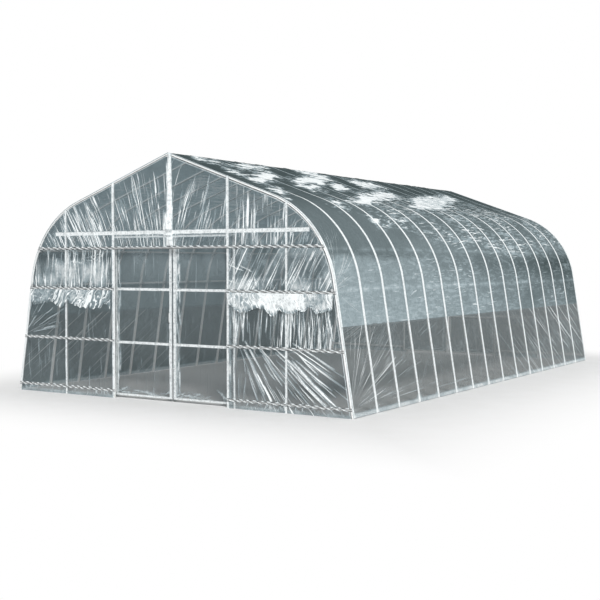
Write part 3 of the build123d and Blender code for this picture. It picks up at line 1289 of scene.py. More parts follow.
@dataclass
class GablePosts:
    """The five upright pipes of a gable, cut to the arch's underside."""

    finish: Material
    line: ArchLine = LINE
    gable: GableFrame = GABLE
    sides: int = 14
    plane: float = ROW.first
    centre_foot: float = 1.635
    overrun: float = 0.05
    feel: float = 0.01  # how far to each side the arch's slope is measured

    def post(self, x: float, low: float) -> Piece:
        """Models one post.

        Args:
            x: its place across the gable.
            low: height of its lower end.

        Returns:
            The post.
        """
        top = float(self.line.z_at(x, -self.line.pipe))
        pipe_start("post", self.line.pipe, self.sides, (x, self.plane, low))
        run_on((0, 0, top - low + self.overrun))
        inner, outer = self.line.z_at(np.maximum(abs(x) + np.array((-self.feel, self.feel)), 0.0), 0.0)
        tilt = atan2(inner - outer, 2 * self.feel) if x else 0.0
        cut((x, self.plane, top), (sin(tilt) * (1 if x > 0 else -1), 0, cos(tilt)))
        return close_edit()

    def build(self) -> None:
        """Models the front gable's posts and turns a copy round for the rear."""
        _, jamb, outer = self.gable.posts
        posts = [self.post(x, 0.0) for x in (-outer, -jamb, jamb, outer)]
        posts.append(self.post(0.0, self.centre_foot))
        front = joined("front_round_posts", posts)
        paint(front, self.finish)
        rear = copied(front, "rear_round_posts", HALF_TURN)
        for end, piece in ((End.FRONT, front), (End.REAR, rear)):
            declare(piece, "house", f"{end.value}_posts")


@dataclass
class CrossingClamps:
    """The pressed clamps that bolt the purlins to each arch."""

    finish: Material
    line: ArchLine = LINE
    row: ArchRow = ROW
    ridge: tuple = (0.0, 2.61424)
    low: tuple = (2.0177, 1.2244)
    high: tuple = (1.897, 1.62)
    radius: float = 0.0127
    sides: int = 12
    wide: float = 0.046
    flange: float = 1.16  # times the sleeve's radius
    flange_share: float = 0.12  # of the sleeve's width
    head: float = 0.0070
    tall: float = 0.0060
    sunk: float = 0.002
    nut: tuple = ((0.0012, 0.0008), (0.0018, 0.0030))  # inset and rise of each step on the head
    crisp: float = 30.0

    def model(self, spot: tuple, way: tuple) -> Piece:
        """Models one clamp at the first arch: a flanged sleeve with a bolt through it.

        Args:
            spot: the purlin's place across and its height.
            way: the way from the arch to the inside, across and up.

        Returns:
            The clamp.
        """
        first = self.row.first
        start = (spot[0], first - self.wide / 2, spot[1])
        sleeve = pipe_start("sleeve", self.radius, self.sides, start, (pi / 2, 0, 0))
        lip, body = self.flange_share, 1 - 2 * self.flange_share
        out, back = self.flange, 1 / self.flange
        for share, grow in ((0, out), (lip, 1), (0, back), (body, 1), (0, out), (lip, 1)):
            run_on((0, share * self.wide, 0))
            bpy.ops.transform.resize(value=(grow, 1, grow))
        close_edit(self.crisp)
        seat = self.radius - self.sunk
        place = (spot[0] + seat * way[0], first, spot[1] + seat * way[1])
        bolt = pipe_start("bolt", self.head, 6, place, (0, atan2(way[0], way[1]), 0))
        run_on((self.tall * way[0], 0, self.tall * way[1]))
        for inset, rise in self.nut:
            bpy.ops.mesh.inset(thickness=inset)
            run_on((rise * way[0], 0, rise * way[1]))
        close_edit(self.crisp)
        return joined("clamp", [sleeve, bolt])

    def build(self) -> None:
        """Models a clamp for each purlin and copies it to every arch."""
        lean = (-cos(self.line.lean), -sin(self.line.lean))
        bend = Vector((self.line.hub[0] - self.high[0], self.line.hub[1] - self.high[1])).normalized()
        rows = (("ridge", self.ridge, (0.0, -1.0)), ("lower", self.low, lean), ("upper", self.high, bend))
        for name, spot, way in rows:
            made = [self.model(spot, way)]
            if spot[0]:
                made.append(copied(made[0], "clamp", MIRROR))
            moves = [self.row.move(k) for k in range(1, self.row.count)]
            row = [copied(piece, "clamp", move) for piece in made for move in moves]
            clamps = joined(f"{name}_clamps", [*made, *row])
            paint(clamps, self.finish)
            declare(clamps, "house")


# ---------------------------------------------------------------- channels and their wire


@dataclass
class ChannelWire:
    """The zigzag spring wire that holds the film in each gable channel."""

    finish: Material
    line: ArchLine = LINE
    gable: GableFrame = GABLE
    face: float = -3.6205
    swing: float = 0.0062
    pitch: float = 0.09
    flat_share: float = 0.11
    wire: float = 0.0016
    sides: int = 5
    merge: float = 0.0003
    crisp: float = 60.0
    lintel_gap: float = 0.02
    arch_gap: float = 0.01
    jamb_gap: float = 0.004

    def strand(self, x0: float, x1: float, z: float) -> Piece:
        """Models one zigzag along a channel.

        Args:
            x0: start across the gable.
            x1: end across the gable.
            z: height of the channel's middle.

        Returns:
            The strand.
        """
        start = (x0, self.face, z - self.swing)
        piece = pipe_start("wire", self.wire, self.sides, start, (0, pi / 2, 0))
        flat = self.pitch * self.flat_share
        slant, swing = self.pitch / 2 - flat, 2 * self.swing
        run_on((flat / 2, 0, 0), (slant, 0, swing), (flat, 0, 0), (slant, 0, -swing), (flat / 2, 0, 0))
        bpy.ops.mesh.select_all(action="DESELECT")
        bpy.ops.mesh.select_face_by_sides(number=self.sides)
        bpy.ops.mesh.delete(type="ONLY_FACE")
        modified(
            piece, "ARRAY", count=max(1, ceil((x1 - x0) / self.pitch)), use_relative_offset=False,
            use_constant_offset=True, constant_offset_displace=(self.pitch, 0, 0),
            use_merge_vertices=True, merge_threshold=self.merge,
        )
        cut((x1, 0, 0), (1, 0, 0))
        cut((x0 + flat / 4, 0, 0), (1, 0, 0), keep_ahead=True)
        return close_edit(self.crisp)

    def build(self) -> None:
        """Models the front gable's wires and turns a copy round for the rear."""
        lintel, near_jamb = self.gable.lintel, self.gable.jamb + self.jamb_gap
        wide = float(self.line.x_at(lintel, 0.0)) - self.lintel_gap
        strands = [self.strand(-wide, wide, lintel)]
        for z in self.gable.heights:
            reach = float(self.line.x_at(z, 0.0)) - self.arch_gap
            strands.append(self.strand(near_jamb, reach, z))
            strands.append(self.strand(-reach, -near_jamb, z))
        front = joined("front_channel_wire", strands)
        paint(front, self.finish)
        for piece in (front, copied(front, "rear_channel_wire", HALF_TURN)):
            declare(piece, "house")


# ---------------------------------------------------------------- gable film


@dataclass
class GableCover:
    """A gable's film: one sheet above the lintel and one each side of the doorway."""

    end: End
    top_finish: Material
    side_finish: Material
    line: ArchLine = LINE
    gable: GableFrame = GABLE
    face: float = 3.6111
    clearance: float = 0.0012
    post_half: tuple = (0.0155, 0.0105)
    post_soft: float = 0.0045
    post_steps: tuple = (0.0, 0.009, 0.013, 0.0175)
    rim_steps: tuple = (0.004, 0.008, 0.012, 0.016, 0.021)
    # painted highlights: white lines on the film where the door rail, the leaves' head rail and a door stile
    # lie behind it
    rail: Stroke = Stroke(1.0, 1.813, 0.024, 0.005)
    rail_span: tuple = (0.06, 1.70)  # middle and half length
    leaf_head: Stroke = Stroke(0.8, 1.768, 0.013, 0.006)
    head_half: float = 0.78
    stile: Stroke = Stroke(0.85, 0.861, 0.015, 0.005)
    stile_top: float = 1.63
    eaves: float = 1.75  # above this the arch's edge is measured upwards
    arch_limits: tuple = (1.9, 2.0)
    clear_edge: tuple = (0.015, 0.005)  # distance from the arch where the clear line ends, and softness
    pinch_edge: tuple = (0.025, 0.006)
    edge: float = 0.0165
    edge_fade: float = 0.016
    rim_fade: float = 0.03
    tuck: float = 0.0135  # how far the edge turns back round the arch
    loose: float = 0.020  # how far the slack film stands out
    fine: float = 0.0076
    coarse: float = 0.017
    fold_pitch: float = 0.09
    top_inset: float = 0.012  # height over the lintel at which the top sheet's width is taken
    top_low: float = 0.02  # its least height
    side_rim_step: float = 0.027
    top_tall: float = 0.9  # height that the top sheet's rows are spaced for
    low_top: float = 0.06  # below this height the top sheet's rows are even
    square_to: float = 1.9  # the side sheets' columns are upright up to here
    square_fade: float = 0.08
    seed: int = 11
    rear_seed: int = 100
    top_at: tuple = (-1.9, -1.5, -1.0, -0.85, -0.6, -0.2, 0.0, 0.12, 0.3, 0.6, 0.8, 0.95, 1.4, 1.5, 1.65, 1.9)
    top_slope: tuple = (
        -0.8, -0.62, -0.48, -0.42, -0.33, -0.14, 0.0, 0.16, 0.36, 0.32, 0.08, 0.02, 0.03, 0.12, 0.38, 0.6
    )
    top_comb: tuple = (
        0.75, 0.92, 0.94, 0.74, 0.64, 0.74, 0.86, 0.80, 0.70, 0.60, 0.55, 0.90, 0.90, 0.76, 0.8, 0.75
    )
    milk_top: Band = Band(0.35, 1.70, 0.06)
    milk_left: Band = Band(0.70, 1.36, 0.17, 4)
    milk_left_ends: tuple = ((-2.02, 0.15), (-0.80, 0.12))
    milk_least: float = 0.3
    milk_right: Band = Band(0.75, 1.27, 0.12)
    milk_far: Band = Band(0.7, 1.34, 0.16)
    milk_far_from: tuple = (1.45, 0.3)
    milk_strip: tuple = ((0.832, 0.01), (1.62, 0.05))
    strip_white: float = 0.8
    milk_field: tuple = (0.45, 1.22)  # whiteness, and the height that it starts at
    milk_steep: tuple = (1.9, 0.35)
    veil: tuple = ((0.6, 0.66, 1.15, 1.25, 1.64, 1.72, 2.6), (0.03, 0.04, 0.05, 0.10, 0.10, 0.22, 0.23))
    bunch: tuple = (0.022, 0.026, 0.012)  # the centre post's gathers: middle, half width and softness
    bunch_spread: tuple = (0.028, 2.60, 0.95)  # what they gain in half width, below which height, over what
    hem: tuple = (0.055, 0.03)
    channel_at: tuple = (0.003, 0.006)  # stand-off over a channel that holds the film, and that marks it
    fold_lean: float = 3.0
    fold_wander: float = 5.0
    fold_steep: tuple = (1.8, -0.45)
    slack_weave: Weave = Weave(7, 40, 5, 40, 4)
    patch_weave: Weave = Weave(2.4, 11, 2.0, 7, 3)
    slack_from: float = 0.35
    top_pivot: float = 1.9  # height at which the top sheet's lines are counted
    top_least: float = 0.05
    top_fade: tuple = (-0.7, -1.25)
    right_pull: tuple = (0.70, 1.12, 0.85)  # the point that the lower right field is pulled to, and spread
    right_lean: tuple = ((0.58, 1.4), (0.06, 0.8))  # slope and pivot of the two fields above
    right_upper: tuple = (0.62, Band(0.26, 1.27, 0.10))
    right_middle: tuple = ((0.8, 1.2, 1.5, 2.05), (0.50, 0.55, 0.90, 0.85))
    right_lower: tuple = ((0.80, 1.0, 1.15, 1.95, 2.1), (0.15, 0.3, 0.68, 0.68, 0.36))
    left_pull: tuple = (-2.16, 0.66, 0.5)
    left_lean: tuple = (0.06, 1.4)
    left_upper: float = 0.62
    left_middle: tuple = ((-2.1, -1.75, -1.45, -0.8), (0.50, 0.30, 0.12, 0.12))
    left_lower: float = 0.18
    comb_steep: tuple = (1.3, -0.35)
    wrap_at: tuple = (0.0, 0.004, 0.0075, 0.0095, 0.0125, 0.0155, 0.019, 0.03)
    wrap_out: tuple = (0.0035, 0.0045, 0.0105, 0.0116, 0.0072, 0.0024, 0.0006, 0.0)
    pull_share: float = 0.985  # flat area to laid area
    least_share: float = 0.31  # least flat area to the sheet's box

    @property
    def pitch(self) -> float:
        """Widest step of the grid."""
        return self.fine if self.end is End.FRONT else self.coarse

    def wrap(self, z: Field) -> Field:
        """How far, in metres, the film stands out where it goes over a channel and into its mouth."""
        return most(*(np.interp(np.abs(z - mid), self.wrap_at, self.wrap_out) for mid in self.gable.channels))

    def lines(self, part: Panel, x: Field, z: Field) -> tuple:
        """Marks where the film lies tight on a pipe, and the painted highlights beside the arch and along a
        post or rail behind it.

        Args:
            part: which of the three sheets.
            x: places across.
            z: heights.

        Returns:
            Arrays of 1 where the film is clear, on the painted highlight beside the arch, and on the painted
            highlight along a post or rail.
        """
        soft = self.post_soft
        halves = zip(self.gable.posts[1:], self.post_half)
        post = most(*(near(np.abs(x), mid, half + soft, soft) for mid, half in halves))
        inside = np.abs(x) - self.line.x_at(np.minimum(z, self.arch_limits[1]), 0.0)
        over = z - self.line.z_at(np.minimum(np.abs(x), self.arch_limits[0]), 0.0)
        depth = np.abs(np.where(z > self.eaves, over * cos(self.line.pitch), inside))
        clear = falling(depth, *self.clear_edge)
        pinch_highlight = falling(depth, *self.pinch_edge) * (1 - clear)
        if part is Panel.TOP:
            middle, half = self.rail_span
            rail = self.rail.at(z) * (np.abs(x - middle) < half)
            post = most(post, rail, self.leaf_head.at(z) * (np.abs(x) < self.head_half))
        if part is Panel.RIGHT:
            post = most(post, self.stile.at(x) * (z < self.stile_top))
        return clear * (1 - post), pinch_highlight, post

    def milk(self, part: Panel, x: Field, z: Field) -> Field:
        """Broad whitish patches, where spare film lies double behind the sheet.

        Args:
            part: which of the three sheets.
            x: places across.
            z: heights.

        Returns:
            How milky each place is.
        """
        if part is Panel.LEFT:
            start, end = self.milk_left_ends
            ends = rising(x, *start) * np.maximum(falling(x, *end), self.milk_least)
            return self.milk_left.at(z) * ends
        if part is Panel.RIGHT:
            far = self.milk_far.at(z) * rising(x, *self.milk_far_from)
            side, top = self.milk_strip
            strip = self.strip_white * falling(x, *side) * falling(z, *top)
            white, low = self.milk_field
            return most(self.milk_right.at(z), far, strip, white * (z > low))
        return self.milk_top.at(z)

    def dashes(self, x: Field, z: Field, slack: Field) -> Field:
        """The film's bright folds where the zigzag wire presses it into a channel.

        Args:
            x: places across.
            z: heights.
            slack: unevenness from 0 to 1.

        Returns:
            1 on a fold, 0 between folds.
        """
        made = np.zeros_like(x)
        for mid in self.gable.channels:
            turn = 2 * pi * (x + self.fold_lean * (z - mid)) / self.fold_pitch
            folds = steep(np.sin(turn + self.fold_wander * slack), *self.fold_steep)
            made = np.where(np.abs(z - mid) < self.wrap_at[-1], folds, made)
        return made

    def lay(self, part: Panel, x: Field, z: Field, patch: Field) -> tuple:
        """Which way the film is pulled in each field between channels, and how streaky it is.

        Args:
            part: which of the three sheets.
            x: places across.
            z: heights.
            patch: patchiness from 0 to 1.

        Returns:
            Arrays of places across the pull, places along it and streakiness.
        """
        _, second, third = self.gable.heights
        fields = [z > third, (z > second) & (z <= third)]
        if part is Panel.TOP:
            lintel = self.gable.lintel
            across = x - np.interp(x, self.top_at, self.top_slope) * (z - self.top_pivot)
            full = (z - lintel) / np.maximum(self.line.z_at(x, 0.0) - lintel, self.top_least)
            comb = np.interp(x, self.top_at, self.top_comb) * steep(full, *self.top_fade)
        elif part is Panel.RIGHT:
            pull_x, pull_z, spread = self.right_pull
            fan = np.arctan2(x - pull_x, pull_z - z) * spread
            across = np.select(fields, [x - slope * (z - pivot) for slope, pivot in self.right_lean], fan)
            even, band = self.right_upper
            upper, middle = even + band.at(z), np.interp(x, *self.right_middle)
            comb = np.select(fields, [upper, middle], np.interp(x, *self.right_lower))
        else:
            pull_x, pull_z, spread = self.left_pull
            fan = np.arctan2(z - pull_z, x - pull_x) * spread
            slope, pivot = self.left_lean
            across = np.select(fields, [x - slope * (z - pivot), fan], x)
            upper, middle = np.full_like(x, self.left_upper), np.interp(x, *self.left_middle)
            comb = np.select(fields, [upper, middle], self.left_lower)
        return across, z, comb * steep(patch, *self.comb_steep)

    def dress(self, part: Panel, piece: Piece, x: Field, z: Field, rim: Field) -> None:
        """Args:
            part: which of the three sheets it is.
            piece: the grid.
            x: each vertex's place across.
            z: each vertex's height.
            rim: each vertex's distance inside the arch's outer edge.
        """
        own = len(part.value)
        seed = self.seed + own + (0 if self.end is End.FRONT else self.rear_seed)
        rise, crease = lay_pleats(x, z, drawn(GABLE_CREASES[part], seed))
        grain = Grain(self.seed + 3 * own)
        slack, patch = grain.woven(x, z, self.slack_weave), grain.woven(x, z, self.patch_weave)
        wrap, (hold, mark) = self.wrap(z), self.channel_at
        tight, pinch_highlight, post = self.lines(part, x, z)
        held = most(tight, pinch_highlight, post)
        free = falling(wrap, hold, hold) * (1 - 0.8 * held) * rising(rim, 0.0, self.rim_fade)
        out = self.clearance + wrap + free * (rise + self.loose * np.maximum(slack - self.slack_from, 0))
        out = out - self.tuck * falling(rim, self.edge_fade, self.edge_fade) ** 2
        crease = np.clip(crease * (0.75 + 0.6 * patch), 0, 1)
        milk = self.milk(part, x, z) * steep(slack, *self.milk_steep)
        veil = np.interp(z, *self.veil) * (0.7 + 0.6 * patch)
        # Creases carry painted glints; the pinch beside the arch and the lines along posts and rails are
        # painted highlights.
        haze_and_glint = most(most(crease, milk, veil) * (1 - tight), 0.92 * pinch_highlight, 0.95 * post)
        if part is Panel.TOP:
            # the centre post's gathers: milky folded film, with painted reflection on top
            (middle, half, soft), (gain, below, over) = self.bunch, self.bunch_spread
            half = half + gain * falling(z, below, over)
            bunch = np.clip((half - np.abs(x - middle)) / soft + 0.5, 0, 1)
            haze_and_glint = np.maximum(haze_and_glint, bunch * (0.93 + 0.1 * slack))
            tight = tight * (1 - bunch)
        haze_and_glint = np.maximum(haze_and_glint, 0.45 * falling(z, *self.hem) * (0.4 + slack))
        channel = rising(wrap, 0.0, mark)
        dash = self.dashes(x, z, slack)
        haze_and_glint = np.where(channel > 0.25, np.maximum(haze_and_glint * 0.3, dash), haze_and_glint)
        # between the folds the film is clear, so the painted shade in the channel's mouth shows
        tight = np.maximum(tight, 0.9 * channel * (1 - dash))
        across, along, comb = self.lay(part, x, z, patch)
        turn = self.end.turn
        lay = (across, along, comb * (1 - held) * (1 - channel))
        shape_film(piece, (x * turn, -(self.face + out) * turn, z), haze_and_glint, lay, tight)
        paint(piece, self.top_finish if part is Panel.TOP else self.side_finish)
        self.declare_sheet(piece, (float(x.max() - x.min()), float(z.max() - z.min())))

    def declare_sheet(self, piece: Piece, flat: tuple) -> None:
        """Declares one sheet.

        Args:
            piece: the sheet.
            flat: its box's width and height; not used.
        """
        declare(piece, "house", f"{self.end.value}_gable_film")

    def build_top(self) -> None:
        """Lays the sheet above the lintel, column by column up to the arch."""
        lintel, full, band = self.gable.lintel, self.top_tall, self.wrap_at[-1]
        wide = float(self.line.x_at(lintel + self.top_inset, self.edge))
        posts = both_ways(self.gable.posts)
        across = steps(beside(posts, both_ways(self.post_steps), -wide, wide), self.pitch)
        low = np.array(self.wrap_at[:-1]) / full
        high = 1 - np.array((0.0, *self.rim_steps)) / full
        rows = np.unique(np.concatenate((low, steps([band / full, 1.0], self.pitch / full), high)))
        piece, x, share = film_grid(f"{self.end.value}_film_top", across, rows)
        top = np.maximum(self.line.z_at(x, self.edge), lintel + self.top_low)
        tall, lift = top - lintel, share * full
        stretched = np.where(lift <= band, lift, band + (lift - band) / (full - band) * (tall - band))
        z = lintel + np.where(tall > self.low_top, stretched, share * tall)
        self.dress(Panel.TOP, piece, x, z, (top - z) * cos(self.line.pitch))

    def build_side(self, side: Side) -> None:
        """Lays the sheet between the doorway and the arch, its columns upright but for the last.

        Args:
            side: which side of the doorway.
        """
        jamb, lintel = self.gable.jamb, self.gable.lintel
        up = steps(beside(self.gable.channels, both_ways(self.wrap_at), 0.0, lintel), self.pitch)
        wide = float(self.line.x_at(0.0, self.edge)) - jamb
        posts = beside(self.gable.posts[1:], both_ways(self.post_steps), jamb, jamb + wide)
        across = steps([(place - jamb) / wide for place in posts], self.pitch / wide)
        rim_steps = np.array((*self.rim_steps, self.side_rim_step))
        across = np.unique(np.concatenate((across, 1 - rim_steps / wide)))
        piece, share, z = film_grid(f"{self.end.value}_film_{side.value}", across, up)
        reach = self.line.x_at(z, self.edge)
        x = jamb + share * (reach - jamb)
        even = jamb + share * wide
        shift = np.where(even < self.square_to, even, x)
        keep = falling(shift, reach, self.square_fade)
        x = np.where(shift < reach, keep * shift + (1 - keep) * x, x).reshape(len(up), len(across))
        x = np.maximum.accumulate(x, axis=1)
        rim = (reach.reshape(x.shape) - x) * cos(self.line.lean)
        if side is Side.LEFT:
            x, rim = -x[:, ::-1], rim[:, ::-1]
        self.dress(Panel(side.value), piece, x.ravel(), z, rim.ravel())

    def build(self) -> None:
        """Lays the three sheets."""
        self.build_top()
        for side in Side:
            self.build_side(side)


@dataclass
class GableFlap:
    """The spare film that hangs crumpled below the middle channels."""

    end: End
    side: Side
    finish: Material
    line: ArchLine = LINE
    jamb: float = 0.80
    arch_gap: float = 0.03
    top: float = 1.186
    drop: float = 0.19
    folded: float = 1.25  # flat drop to hanging drop
    face: float = 3.6238
    clearance: float = 0.0015
    hang: tuple = (0.012, 0.050, 0.016)  # how far it stands off, and what large and small folds add
    end_at: float = 1.1  # height at which its width is taken
    edge_weave: Weave = Weave(9, 3, 0, 2, 4)
    ragged: tuple = (0.50, 0.85)
    mottle_weave: Weave = Weave(9, 5, 9, 5, 3)
    bulge: float = 0.8
    sway: float = 0.03
    right_white: tuple = (0.68, Band(0.12, 1.45, 0.25))
    left_white: float = 0.32
    foot_fade: tuple = (1.03, 0.25)
    foot_white: float = 0.45
    columns: int = 150
    rows: int = 30
    seed: int = 71
    left_seed: int = 9

    def build(self) -> None:
        """Hangs one flap, its lower edge ragged and its folds deeper towards it."""
        coarse = 1 if self.end is End.FRONT else 2
        right = self.side is Side.RIGHT
        across, down = (np.arange(n // coarse + 1) / (n // coarse) for n in (self.columns, self.rows))
        piece, u, v = film_grid(f"{self.end.value}_flap_{self.side.value}", across, 1 - down)
        grain = Grain(self.seed + (0 if right else self.left_seed))
        reach = float(self.line.x_at(self.end_at, 0.0)) - self.arch_gap
        x = self.jamb + u * (reach - self.jamb)
        least, gain = self.ragged
        z = self.top - v * self.drop * (least + gain * grain.woven(x, x, self.edge_weave))
        fold = grain.layered(x * 13 + z * 5, z * 7 + 31, 3) - 0.5
        deep = grain.layered(x * 30 - z * 11, z * 16 + 3, 2) - 0.5
        off, large, small = self.hang
        out = self.clearance + v ** self.bulge * (off + large * np.abs(fold) + small * np.abs(deep))
        x = x + v * self.sway * fold
        crest_glint, glint = steep(np.abs(fold), -9, -1), steep(np.abs(deep), -8, -1)
        mottle = grain.woven(x, z, self.mottle_weave)
        even, band = self.right_white
        bright = even + band.at(x) if right else self.left_white
        # milky spare film, with painted highlights on the fold crests
        haze_and_glint = bright * (0.35 + 1.2 * mottle) + 0.6 * np.maximum(crest_glint, glint) * mottle
        haze_and_glint = haze_and_glint * np.maximum(falling(v, *self.foot_fade), self.foot_white)
        lay = (0.55 * (x + 0.45 * z + 0.30 * fold), 0.4 * z, 0.95 + 0.1 * mottle)
        turn = self.end.turn
        shape_film(piece, (self.side.sign * x * turn, -(self.face + out) * turn, z), haze_and_glint, lay)
        if not right:
            piece.data.flip_normals()
        paint(piece, self.finish)
        declare(piece, "house")


# ---------------------------------------------------------------- roof and side film


@dataclass
class LongCover:
    """The film over the tunnel: the roof sheet and a lower sheet along each side."""

    finish: Material
    side_finish: Material
    line: ArchLine = LINE
    row: ArchRow = ROW
    half_length: float = 3.6111
    arch_steps: tuple = (0.0, 0.0095, 0.0135, 0.018, 0.0225)
    roof_edge: float = 0.87
    roof_rows: tuple = (1.228, 1.24, 1.252, 1.642, 1.654, 1.666)
    roof_off: float = 0.0147
    roof_hem: float = 0.02
    side_rows: tuple = (0.004, 0.02, 0.045, 0.07)
    side_top: float = 1.6
    side_off: float = 0.0124
    side_hem: float = 0.01
    purlins: tuple = (1.2244, 1.62)
    # painted highlight lines where the purlins lie behind the roof film
    purlin_highlight: tuple = (0.26, 0.14)
    bay_steps: int = 14
    run_step: float = 0.024
    least_slack: float = -0.002
    most_slack: float = 0.012
    under_roof: float = 0.0004  # how far the side film goes in below the roof film
    corner: float = -3.66  # the front corner that the film is pulled to
    seed: int = 301
    pleat_seed: int = 3  # this and the next are added to the seed
    side_seed: int = 8
    hem_seed: int = 17
    fray_seed: int = 40
    wave_seed: int = 5
    wobble_seed: int = 61
    purlin_seed: int = 71
    search: tuple = (0.0, 2.2, 1200)  # lengths up the arch among which the side film's edge is found
    edge_fade: float = 0.06
    rear_clear: tuple = (0.28, -3.6, 7.2)  # haze that the low roof film loses, from where, and over what
    roof_way: tuple = (0.78, 0.08, 1.7)  # spacing of the pull's lines across, their wobble, and along
    side_way: tuple = (0.57, 0.82)  # spacing of the pull's lines along the tunnel and up the arch
    along_share: float = 0.3
    tight_to: tuple = (0.0115, 0.06)  # distance from an arch where slack starts, and over what it grows
    pipe_half: tuple = (0.009, 0.009)  # half width of a pipe's line, and what it gains where it shows clearly
    pipe_soft: float = 0.0045
    # painted highlight along each arch where the film lies over it, and what it gains where the pipe shows
    # clearly
    pipe_highlight: tuple = (0.45, 0.52)
    broad_weave: Weave = Weave(1.6, 9, 2.4, 3, 4)
    small_weave: Weave = Weave(7, 50, 9, 20, 3)
    waves: tuple = (0.012, 0.004, 0.006)  # slack of the broad and small waves and of the creases
    crease_from: tuple = (0.90, 0.10)
    fray_weave: Weave = Weave(6, 0, 22, 9, 4)
    fray: tuple = (0.34, 0.3)
    core_soft: float = 0.045
    core_grow: float = 0.15
    halo: tuple = (-0.14, 0.14)
    core_white: tuple = ((-1.4, 0.6), (0.96, 0.62))
    wave_weave: Weave = Weave(3, 7, 0, 3, 4)
    wave_middle: float = 0.42
    wave_size: tuple = (0.09, 0.14)
    wave_front: tuple = (-1.8, 1.5)
    soft_from: tuple = (-2.4, 1.2)
    wobble_weave: Weave = Weave(1.7, 20, 2.3, 4, 3)
    corner_ends: tuple = ((-2.9, 0.5), (2.0, 0.2))
    roof_pull: tuple = (1.24, 1.2)  # height of the point that the roof film's corner is pulled to, and spread
    side_pull: tuple = (0.06, 1.3)
    wall_top: tuple = (1.75, 0.25)
    purlin_weave: Weave = Weave(9, 0, 0, 5, 3)
    purlin_line: tuple = (0.016, 0.008)
    lit_soft: float = 0.22
    lit_top: tuple = (3.30, 0.35)
    faint_top: tuple = (2.9, 0.6)  # where the arches start to show less through the roof
    under_edge: tuple = (0.004, 0.012)
    hem: tuple = (0.055, 0.02)
    hem_weave: Weave = Weave(6, 0, 20, 0, 3)
    tuft: tuple = (0.07, 0.10)
    tuft_weave: Weave = Weave(14, 0, 14, 0, 3)
    fan_to: float = -0.8  # the side film is pulled to its front corner up to here
    dull: tuple = (0.39, 0.33, 0.13, 0.11, 0.03, 0.0, 0.0)
    dull_at: tuple = (0.88, 1.54, 1.60, 2.1, 2.6, 3.1, 3.9)
    soft_at: tuple = (0.88, 1.30, 1.85, 2.2, 2.6, 3.1, 3.9)
    lit_from: tuple = ((-3.6, -2.4, -1.0, 0.6, 3.6), (2.5, 2.1, 1.65, 1.50, 1.45))
    lit_share: tuple = ((-3.6, -2.6, -1.4, 0.5, 3.6), (0.05, 0.15, 0.6, 1.0, 0.6))
    side_comb: tuple = (
        (-3.6, -2.6, -2.1, -0.8, 0.9, 1.8, 3.6), (0.62, 0.52, 0.22, 0.15, 0.36, 0.62, 0.62)
    )

    def along(self) -> Field:
        """Works out the columns' places along the tunnel, close together at each arch.

        Returns:
            The places in order.
        """
        middles = [self.row.first + k * self.row.bay for k in range(self.row.count)]
        stops = beside(middles, both_ways(self.arch_steps), -self.half_length, self.half_length)
        return steps(stops, self.row.bay / self.bay_steps)

    def shape(
        self, piece: Piece, place: tuple, off: float, haze_and_glint: Field, slack: Field, lay: tuple,
        pipe_share: Field | float = 1.0, shine: Field | float = 0.0,
    ) -> None:
        """Bends a grid over the arches.

        Args:
            piece: the grid.
            place: arrays of places along the tunnel, lengths up the arch and sides of the ridge.
            off: distance from the arch's centre line.
            haze_and_glint: whiteness from 0 to 1, real whitening together with painted glints and highlights.
            slack: unevenness in metres, outwards.
            lay: places across the film's pull, places along it and how strong its painted streak highlights
                are.
            pipe_share: how clearly a pipe shows there.
            shine: how much its ripples catch the light.
        """
        y, run, sign = place
        x, z, nx, nz = self.line.at(run)
        away = self.row.off(y)
        (half, half_gain), (white, white_gain) = self.pipe_half, self.pipe_highlight
        between = rising(away, *self.tight_to)
        pipe = 1 - rising(away, half + half_gain * pipe_share, self.pipe_soft)
        lift = off + between * slack
        # painted highlight along each arch pipe under the film
        haze_and_glint = np.maximum(haze_and_glint, pipe * (white + white_gain * pipe_share))
        across, along, comb = lay
        spots = ((x + nx * lift) * sign, y, z + nz * lift)
        shape_film(piece, spots, haze_and_glint, (across, along, comb * (1 - pipe)), shine=shine * between)

    def wrinkles(self, y: Field, run: Field, seed: int) -> tuple:
        """Fine creases and slackness that run about the sheet.

        Args:
            y: places along the tunnel.
            run: lengths up the arch.
            seed: which pattern.

        Returns:
            Arrays of slackness in metres, of whiteness along the creases, real whitening with painted glints,
            and of an even patchiness from 0 to 1.
        """
        grain = Grain(seed)
        broad, small = grain.woven(y, run, self.broad_weave), grain.woven(y, run, self.small_weave)
        skew = grain.layered(y * 3.1 + run * 2.0 + 5, run * 3.4 - y * 0.6 + 60, 4)
        crease = rising(1 - np.abs(skew - 0.5) * 2, *self.crease_from)
        large, little, sharp = self.waves
        slack = large * (broad - 0.5) + little * (small - 0.5) + sharp * crease
        return slack, 0.22 * crease * steep(small, 2, 0.6), broad

    def glare(self, y: Field, run: Field) -> tuple:
        """The bright, ragged patches of sky that the slack roof catches.

        Args:
            y: places along the tunnel.
            run: lengths up the arch.

        Returns:
            Whiteness of the patches, and of the ripples in and round them, from 0 to 1.
        """
        fray = Grain(self.seed + self.fray_seed).woven(y, run, self.fray_weave) - 0.5
        deep = most(*(inside_by(y, run, outline) for outline in GLARES))
        core = np.clip((deep + self.fray[0] * fray) / self.core_soft + self.core_grow, 0, 1)
        halo = np.maximum(core, 0.8 * rising(deep + self.fray[1] * fray, *self.halo))
        return core * np.interp(y, *self.core_white), halo

